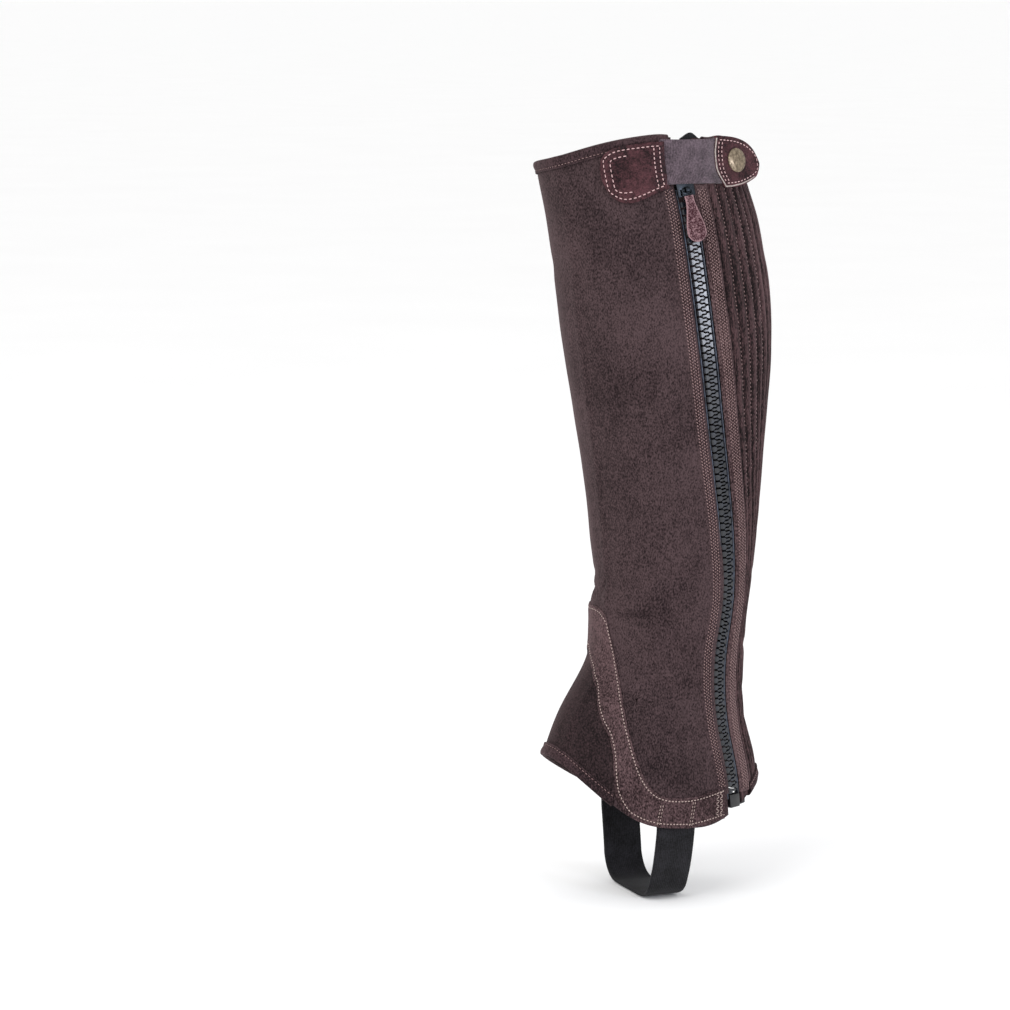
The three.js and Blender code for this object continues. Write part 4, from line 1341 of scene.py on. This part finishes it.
def lay_core(across, down):
    corner = float(snap_edge(SNAP_TAB[0, 2]))
    side_height = mix(SNAP_TAB[0, 1] - 1.5, SNAP_TAB[0, 2], np.clip(down / 0.5, 0, 1))
    run = mix(corner, CORE_END, np.clip((down - 0.5) / 0.5, 0, 1))
    foot = np.interp(run, SNAP_TAB[:, 0], SNAP_TAB[:, 2])
    turn = np.pi * across
    inward = CORE_MM * (1 - np.cos(turn))
    on_side = down < 0.5
    along = np.where(on_side, snap_edge(side_height) + inward, run)
    height = np.where(on_side, side_height, foot + inward)
    return along, height, TAB_MM - 0.45 + 0.6 * np.sin(turn)


snap_core = cloth("raw_edge_snap_tab", 6, 120, lay_core, 0.4, [RAW_CORE],
                  surface=snap_place)

# %% [markdown]
# The press stud's cap is spun brass: a plain dome with a raised ring. A profile of radius and height
# is turned on a grid whose sides meet, and its seam and pole are merged. The socket and the stud are
# turned the same way.

# %% Press stud
SNAP_ALONG = 18.5
SNAP_HEIGHT = 121.5
here = snap_place(SNAP_ALONG, SNAP_HEIGHT, 0.0)
stud_up = unit(snap_place(SNAP_ALONG, SNAP_HEIGHT + 2, 0.0) - here)
stud_out = unit(snap_place(SNAP_ALONG, SNAP_HEIGHT, 1.0) - here)
stud_round = unit(np.cross(stud_up, stud_out))
stud_out = np.cross(stud_round, stud_up)
stud_frame = np.stack([stud_round, stud_up, stud_out], axis=-1)


def turned(name, node, profile, segments=64):
    """A solid turned from (radius, height) rows in millimetres, along the stud's own axis."""
    rows = np.array(profile, dtype=float)

    def place(across, down):
        at = down * (len(rows) - 1)
        radius, height = [np.interp(at, np.arange(len(rows)), column) for column in rows.T]
        spin = across * 2 * np.pi
        local = np.stack([radius * np.cos(spin), radius * np.sin(spin), height], axis=-1) * MM
        return local @ stud_frame.T + here

    piece = grid_piece(name, segments, len(rows) - 1, place)
    edit_all(piece, remove_doubles={"threshold": 0.00002}, normals_make_consistent={"inside": False})
    finish_piece(piece, [BRASS], "chap", 60)
    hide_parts(node)
    return piece


cap_shape = [
    (0, -0.6), (7.5, -0.6), (7.85, -0.2), (7.9, 0.3), (7.7, 0.75), (7.3, 1.0), (6.8, 1.12),
    (6.3, 1.22), (5.6, 1.55), (5.3, 1.78), (4.95, 1.84), (4.6, 1.76), (4.2, 1.8), (3.2, 2.02),
    (1.6, 2.18), (0, 2.22),
]
cap_profile = [(radius, TAB_MM + 0.2 + height) for radius, height in cap_shape]
socket_profile = [(0, -1.5), (4.9, -1.5), (5.2, -1.2), (5.2, -0.4), (4.9, -0.1), (0, -0.1)]
stud_profile = [(0, -2.4), (4.2, -2.4), (4.5, -2.2), (4.5, -2.0), (4.2, -1.8), (0, -1.8)]
snap_pieces = [
    turned("snap_cap_dome", "snap_cap", cap_profile),
    turned("snap_socket_ring", "snap_socket", socket_profile, 32),
    turned("snap_stud_ring", "snap_stud", stud_profile, 32),
]
print("cap at mm", (here / MM).round(1))

# %% [markdown]
# The strap goes under the arch of the boot. Its route is a few straight and curved stretches from
# inside the outer hem to inside the inner hem, and the web is laid along it with a crown across.

# %% Foot strap
STRAP_WIDTH = 27
STRAP_Y = -23
STRAP_FOOT = -356
STRAP_TUCK = -294
STRAP_MIDDLE = 25
SOLE_HALF = 33
OUTER_ANGLE = 3
INNER_ANGLE = -183
CLEAR_OUTER = 2.6
CLEAR_INNER = 4.8


def bend(first, control, last, steps=12):
    """Points on a quadratic curve, without the first."""
    t = np.linspace(0, 1, steps + 1)[1:, None]
    return (1 - t) ** 2 * first + 2 * t * (1 - t) * control + t**2 * last


def strap_route():
    """Points of the route, seen from the front: x and height, in millimetres."""
    def inside(angle, height, clear):
        return np.array([leg(float(angle), float(height), -clear, 0.0)[0] / MM, height])

    outer_top = inside(OUTER_ANGLE, STRAP_TUCK, CLEAR_OUTER)
    outer_hem = inside(OUTER_ANGLE, STRAP_TUCK - 13, CLEAR_OUTER)
    inner_top = inside(INNER_ANGLE, STRAP_TUCK, CLEAR_INNER)
    inner_hem = inside(INNER_ANGLE, STRAP_TUCK - 15, CLEAR_INNER)
    sole = STRAP_FOOT + 26
    outer = STRAP_MIDDLE + SOLE_HALF
    inner = STRAP_MIDDLE - SOLE_HALF
    outer_side = np.array([outer + 5, STRAP_FOOT + 15])
    outer_flat = np.array([outer - 15, STRAP_FOOT])
    inner_flat = np.array([inner + 15, STRAP_FOOT])
    inner_side = np.array([inner - 5, STRAP_FOOT + 15])
    return np.vstack([
        outer_top, outer_hem,
        bend(outer_hem, np.array([outer_hem[0] - 4, sole]), outer_side),
        bend(outer_side, np.array([outer, STRAP_FOOT]), outer_flat),
        inner_flat,
        bend(inner_flat, np.array([inner, STRAP_FOOT]), inner_side),
        bend(inner_side, np.array([inner_hem[0] + 4, sole]), inner_hem),
        inner_top,
    ])


ROUTE = strap_route()
ROUTE_RUN = run_along(ROUTE)


def strap_place(run, sideways, out):
    """Places on the strap: how far along it, how far across and how far off it, in millimetres."""
    def at(where):
        return np.stack([np.interp(where, ROUTE_RUN, column) for column in ROUTE.T], axis=-1)

    way = unit(at(run + 1.5) - at(run - 1.5))
    spot = at(run)
    x = spot[..., 0] - way[..., 1] * out
    z = spot[..., 1] + way[..., 0] * out
    return np.stack([x, STRAP_Y + sideways, z], axis=-1) * MM


def lay_strap(across, down):
    sideways = (across - 0.5) * STRAP_WIDTH
    edge = STRAP_WIDTH / 2 - np.abs(sideways)
    run = mix(1.6, ROUTE_RUN[-1] - 1.6, down)
    return run, sideways, 0.75 - 0.45 * (1 - ease(0, 1.4, edge)) + 0.08 * np.sin(run / 13)


foot_strap = cloth("web_foot_strap", 28, 150, lay_strap, 1.5, [STRAP_WEB],
                   surface=strap_place)
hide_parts("foot_strap")

# %% [markdown]
# A stitch is a short grain of thread whose ends sink into the hide. One is modelled from a small
# sphere and copied along every line of sewing. A line is a fine row of places on the leg, walked in
# even steps. Zigzags are sewn the same way, between places on two sides of a line.

# %% Stitches
def stitch():
    bpy.ops.object.select_all(action="DESELECT")
    bpy.ops.mesh.primitive_uv_sphere_add(segments=6, ring_count=5, radius=0.5)
    piece = bpy.context.object
    bpy.ops.transform.rotate(value=math.radians(90), orient_axis="Y", center_override=(0, 0, 0))
    bpy.ops.object.transform_apply(location=True, rotation=True, scale=True)
    return piece


def stitch_frames(first, last, outward, width, height):
    """Frames for stitches from first to last, in metres, with their width and height in millimetres."""
    run = last - first
    y = unit(np.cross(outward, unit(run)))
    z = unit(np.cross(unit(run), y))
    return frames_from(run, y * width * MM, z * height * MM, (first + last) / 2)


def walk(line, surface, pitch, share, width, height):
    """Stitch frames along a line of surface coordinates: rows of a, b and out."""
    run = run_along(surface(*line)) / MM
    count = max(int(run[-1] / pitch), 1)
    step = run[-1] / count
    centre = step * (np.arange(count) + 0.5)

    def at(where, lift=0.0):
        a, b, out = [np.interp(where, run, values) for values in line]
        return surface(a, b, out + lift)

    first = at(centre - step * share / 2)
    last = at(centre + step * share / 2)
    outward = unit(at(centre, 1.0) - at(centre))
    return stitch_frames(first, last, outward, width, height)


def zigzag(line, reach, pitch, width, height):
    """Stitches that cross a line on the leg from side to side. Its reach is in degrees each way."""
    run = run_along(leg(*line)) / MM
    count = int(run[-1] / pitch)
    where = np.linspace(0, run[-1], count + 1)
    side = np.where(np.arange(count + 1) % 2 == 0, 1, -1)
    angle, level_mm, out = [np.interp(where, run, values) for values in line]
    corners = leg(angle + side * reach, level_mm, out)
    outward = unit(leg(angle, level_mm, out + 1.0) - leg(angle, level_mm, out))
    inset = (corners[1:] - corners[:-1]) * 0.08
    return stitch_frames(corners[:-1] + inset, corners[1:] - inset, outward[:-1], width, height)


SLANT_PITCH = 2.1
SLANT_HALF = 0.5075


def slanted(distance, out, top, foot, phase):
    """A column of short stitches beside the zip that all lean the same way."""
    lean_way = 1 if phase else -1
    heights = np.arange(top - SLANT_PITCH * phase / 2, foot, -SLANT_PITCH)

    def spots(move, lift=0.0):
        return leg(beside_zip(heights + move, distance - lean_way * move), heights + move, out + lift)

    outward = unit(spots(0.0, 1.0) - spots(0.0))
    return stitch_frames(spots(SLANT_HALF), spots(-SLANT_HALF), outward, 0.6, 0.5)


HOLE_MM = 0.75
HOLE_DEEP = 0.42


def needle_holes(frames):
    """The frame of a dark disc at the end of each stitch, painted shade for its needle hole: round,
    flat and a little sunk.
    """
    run = frames[:, :3, 0]
    ends = frames[:, :3, 3] + run * 0.58
    out = unit(frames[:, :3, 2])
    along = unit(run) * HOLE_MM * MM
    return frames_from(along, np.cross(out, along), out * HOLE_DEEP * MM, ends)


def sewing(name, rows, material):
    """The stitches of some rows as one piece, and dark discs of painted shade for the needle holes
    between them as another.
    """
    frames = np.concatenate(rows)
    thread_piece = repeated(name, stitch(), frames, material, angle=80)
    holes = needle_holes(frames)
    hole_piece = repeated(name + "_holes", stitch(), holes, HOLE_SHADE, angle=80)
    return [thread_piece, hole_piece]


FINE = np.linspace(0, 1, 240)
print("stitch lines are walked in", len(FINE), "places")

# %% [markdown]
# The strips, the patch and the bindings are sewn with one pale thread, in rows that stay the same
# distance from the edge. Two dense zigzags end the outer strip beside the zip, two short rows hold
# the strap, and a plain box with a cross bar holds its other end inside the ankle.

# %% Panel sewing
THREAD = 0.76
THREAD_LIFT = 0.12
BITE = 0.55
SUNK = TRIM_OUT - 0.3
PATCH_ROWS_APART = 2.6
TACK_TOP = -289.5
TACK_ANGLES = (-6.5, 10.5)


def row(angle, height, out, pitch=2.3, share=0.7, width=THREAD):
    """A row of stitches on the leg, most of each above the hide."""
    angle, height, out = np.broadcast_arrays(np.asarray(angle, float), np.asarray(height, float), out)
    return walk((angle, height, out + THREAD_LIFT), leg, pitch, share, width, BITE)


def strip_row(rows, lift, inset, from_front):
    """A row of stitches inside one edge of a strip."""
    rear_angle, rear, front_angle, front, width = strip_edges(rows, FINE, lift)
    share = 1 - inset / width if from_front else inset / width
    return row(mix(rear_angle, front_angle, share), mix(rear, front, share), SUNK)


def edge_row(edge, direction, start, end):
    """The row that holds a binding, a little above its lower fold."""
    angle = mix(start, end, FINE)
    return row(angle, edge(angle) - direction * 4.9, 2.62, 2.7, 0.66, 0.42)


def patch_rows(inset):
    """The two long sides and the two ends of the patch, one inset from its edge."""
    height, front, rear = patch_sides(FINE)
    inside = (height < PATCH[0, 0] - inset) & (height > PATCH[-1, 0] + inset)
    turn = inset * 1.22 / MM_A_DEGREE
    middle = (front + rear) / 2
    front_line = np.maximum(front - turn, middle)[inside]
    rear_line = np.minimum(rear + turn, middle)[inside]
    level_line = height[inside]
    few = FINE[::8]
    ends = [row(mix(front_line[end], rear_line[end], few), level_line[end], SUNK) for end in (0, -1)]
    return [row(front_line, level_line, SUNK), row(rear_line, level_line, SUNK), *ends]


def tack_box():
    """A box of stitches with a cross bar, from its corners' angles and heights."""
    left, right = -184.0, -207.0
    top, middle, foot = -260.0, -277.0, -294.0
    few = np.linspace(0, 1, 24)
    sides = [row(angle, mix(top, foot, few), SUEDE_MM) for angle in (left, right)]
    bars = [row(mix(left, right, few), height, SUEDE_MM) for height in (top, middle, foot)]
    return sides + bars


def strap_tacks():
    """Two short double rows that hold the strap under the outer strip."""
    rows = []
    for angle in TACK_ANGLES:
        heights = mix(TACK_TOP, float(hem(angle)) + 1.2, np.linspace(0, 1, 20))
        for shift in (-0.6, 0.6):
            rows.append(row(angle + shift, heights, TRIM_OUT, 2.2, 0.75, 0.45))
    return rows


def end_box():
    """The dense zigzags where the outer strip ends beside the zip."""
    rows = []
    for start, end in ((26.6, 28.4), (24.2, 25.8)):
        line = (mix(start, end, FINE), mix(-285.5, -301.0, FINE), np.full(len(FINE), TRIM_OUT))
        rows.append(zigzag(line, 1.2, 1.5, 0.5, BITE))
    return rows


panel_rows = [
    strip_row(OUTER_STRIP, 0, STITCH_INSET, False),
    strip_row(OUTER_STRIP, 0, STITCH_INSET + 0.4, True),
    strip_row(INNER_STRIP, INNER_LIFT, STITCH_INSET, False),
    strip_row(INNER_STRIP, INNER_LIFT, STITCH_INSET, True),
    *patch_rows(STITCH_INSET),
    *patch_rows(STITCH_INSET + PATCH_ROWS_APART),
    *tack_box(), *strap_tacks(), *end_box(),
]
panel_sewing = sewing("stitches_panel", panel_rows, PANEL_THREAD)
bound_rows = [edge_row(rim, 1, SEAM_FRONT, FRONT_TOP), edge_row(rim, 1, BACK_TOP, SEAM_BACK)]
bound_rows += [edge_row(hem, -1, start, end) for start, end, _ in HEM_STRETCHES.values()]
bound_sewing = sewing("stitches_binding", bound_rows, BAND_THREAD)

# %% [markdown]
# The bands beside the zip are sewn with columns of short stitches that lean to one side and the
# other in turn, because straight rows would weaken so narrow an edge. The ribs are drawn up by
# straight rows in their grooves.

# %% Zip, seam and rib sewing
ZIP_TOP = 104
LATTICE_COLUMNS = 5
LATTICE_STEP = 1.45
facing_rows = [
    slanted(-8.5 - LATTICE_STEP * column, SUEDE_MM + 0.95, ZIP_TOP, -283, column % 2)
    for column in range(LATTICE_COLUMNS - 1)
]
strip_rows = [
    slanted(8.9 + LATTICE_STEP * column, TRIM_OUT + 0.2, ZIP_TOP, -287, column % 2)
    for column in range(LATTICE_COLUMNS)
]
seam_rows = []
height = mix(108.0, -280.0, FINE)
for distance in (-3.0, 3.0):
    line = (beside_seam(height, distance), height, np.full(len(FINE), SUNK + 0.1))
    seam_rows.append(walk(line, leg, 3.0, 0.66, 0.5, BITE))
rib_rows = []
height = mix(110.0, -268.0, FINE)
for groove in range(1, RIBS):
    angle = rib_angle(groove, height)
    line = (angle, height, SUEDE_MM + rib_wave(angle, height) + 0.5)
    rib_rows.append(walk(line, leg, 2.7, 0.5, 0.7, 0.6))
facing_sewing = sewing("stitches_zip_facing", facing_rows, BAND_THREAD)
strip_sewing = sewing("stitches_zip_strip", strip_rows, BAND_THREAD)
seam_sewing = sewing("stitches_seam", seam_rows, PANEL_THREAD)
rib_sewing = sewing("stitches_ribs", rib_rows, BAND_THREAD)

# %% [markdown]
# The leather tabs are sewn with a thicker, paler thread: a row round the edge, a second row inside
# it on the sewn tab, and two upright rows where each tab holds the elastic.

# %% Tab sewing
TAB_THREAD_MM = 0.75
TAB_BITE = 0.6
EDGE_PITCH = 3.1
COLUMN_PITCH = 2.6


def tab_edge(table, inset, scale, lift, surface, out_at, start=0.0, slant=None):
    """One row round a tab, an even distance inside its edge."""
    place = np.linspace(0, len(table) - 1, 160)
    along = smooth(table[:, 0], place)
    top = smooth(table[:, 1], place) - inset
    foot = smooth(table[:, 2], place) + inset
    sign = np.sign(table[-1, 0] - table[0, 0])
    first = table[0, 0] + sign * (start + inset) / scale
    last = table[-1, 0] - sign * inset / scale
    keep = ((along - first) * sign > 0) & ((last - along) * sign > 0) & (top > foot)
    a = np.concatenate([along[keep], along[keep][::-1]])
    b = np.concatenate([top[keep], foot[keep][::-1]])
    if slant is not None:
        share = np.concatenate([place[keep], place[keep][::-1]]) / (len(table) - 1)
        a = a + slant(b) * (1 - share)
    out = out_at(b) + lift
    return walk((a, b, out), surface, EDGE_PITCH, 0.7, TAB_THREAD_MM, TAB_BITE)


def tab_column(along, top, foot, surface, out_at, lift, slant=None):
    """An upright row on a tab, leaning as the tab's own edge does."""
    height = np.linspace(top, foot, 40)
    place = np.full(40, float(along))
    if slant is not None:
        place = place + slant(height) * (1 - along / SNAP_TAB[-1, 0])
    line = (place, height, out_at(height) + lift)
    return walk(line, surface, COLUMN_PITCH, 0.66, TAB_THREAD_MM, TAB_BITE)


def snap_out(height):
    return np.full(np.shape(height), TAB_MM + 0.2)


tab_rows = [
    tab_edge(CLOSURE_TAB, TAB_INSET, MM_A_DEGREE, -0.1, leg, tab_out),
    tab_edge(CLOSURE_TAB, TAB_INSET + 4, MM_A_DEGREE, 0.12, leg, tab_out, start=14),
    tab_column(-9.6, 132, 107, leg, tab_out, 0.05),
    tab_column(-12.6, 131.5, 106, leg, tab_out, 0.12),
    tab_edge(SNAP_TAB, TAB_INSET, 1.0, -0.1, snap_place, snap_out, slant=snap_edge),
    tab_column(2.8, 134.5, 108.5, snap_place, snap_out, -0.05, snap_edge),
    tab_column(5.6, 134.2, 108.5, snap_place, snap_out, 0.1, snap_edge),
]
tab_sewing = sewing("stitches_tabs", tab_rows, TAB_THREAD)

# %% [markdown]
# Each sheet's area is printed, kept between about a third and the whole of the rectangle it was cut
# to.

# %% Sheets
LEAST_SHARE = 0.301


def declare(piece):
    """A sheet's area is between about a third and the whole of its rectangle."""
    width, length, area = CUTS[piece.name]
    area = min(max(area, LEAST_SHARE * width * length), width * length)
    print(piece.name, "area in square centimetres", round(area * 1e4, 1))


declare(main_panel)
declare(instep_tongue)
declare(rib_gusset)
declare(outer_strip)
declare(inner_strip)
declare(grip_patch)
declare(zip_strip)
declare(tapes[0])
declare(tapes[1])
declare(closure_tab)
declare(closure_elastic)
declare(snap_tab)
declare(foot_strap)

# %% [markdown]
# The stage is a plain pale floor under the strap. Large soft lights keep the suede's colour even, and
# two small cool ones on the zip's side give its teeth their gleam. The pale world fills the shadows.

# %% Stage and lights
FLOOR = -0.3575
bpy.ops.object.select_all(action="DESELECT")
bpy.ops.mesh.primitive_plane_add(size=600, location=(0, 0, FLOOR))
floor = bpy.context.object
floor.name = "studio_floor"
paper = Finish("studio_paper", Roughness=0.9, Specular_IOR_Level=0.1)
grain = paper.noise(3, 2)
paper.paint(grain, (250, 250, 250), (254, 254, 254))
floor.data.materials.append(paper.material)

world = bpy.data.worlds.new("studio_world")
bpy.context.scene.world = world
world.use_nodes = True
world.node_tree.nodes["Background"].inputs["Color"].default_value = (1.0, 1.0, 1.0, 1.0)
world.node_tree.nodes["Background"].inputs["Strength"].default_value = 1.0
bpy.context.scene.view_settings.view_transform = "Standard"


def softbox(name, heading, height, distance, width, tall, watts):
    """A rectangular light at a heading round the leg, aimed at its middle."""
    turn = math.radians(heading)
    spot = Vector((math.cos(turn) * distance, math.sin(turn) * distance, height))
    aim_at = Vector((0.01, -0.01, -0.1)) - spot
    facing = aim_at.to_track_quat("-Z", "Y").to_euler()
    bpy.ops.object.light_add(type="AREA", location=spot, rotation=facing)
    light = bpy.context.object
    light.name = name
    light.data.shape = "RECTANGLE"
    light.data.size = width
    light.data.size_y = tall
    light.data.energy = watts
    return light


softbox("key_light", -62, 1.3, 2.0, 1.6, 1.6, 24)
softbox("fill_light", 0, 0.9, 2.6, 1.4, 1.2, 5)
gleams = [
    softbox("zip_gleam", 24, 0.25, 1.9, 0.5, 0.38, 9),
    softbox("zip_gleam_low", 29, -0.06, 1.9, 0.6, 0.36, 1.5),
]
for gleam in gleams:
    gleam.data.color = (0.84, 0.88, 1.0)
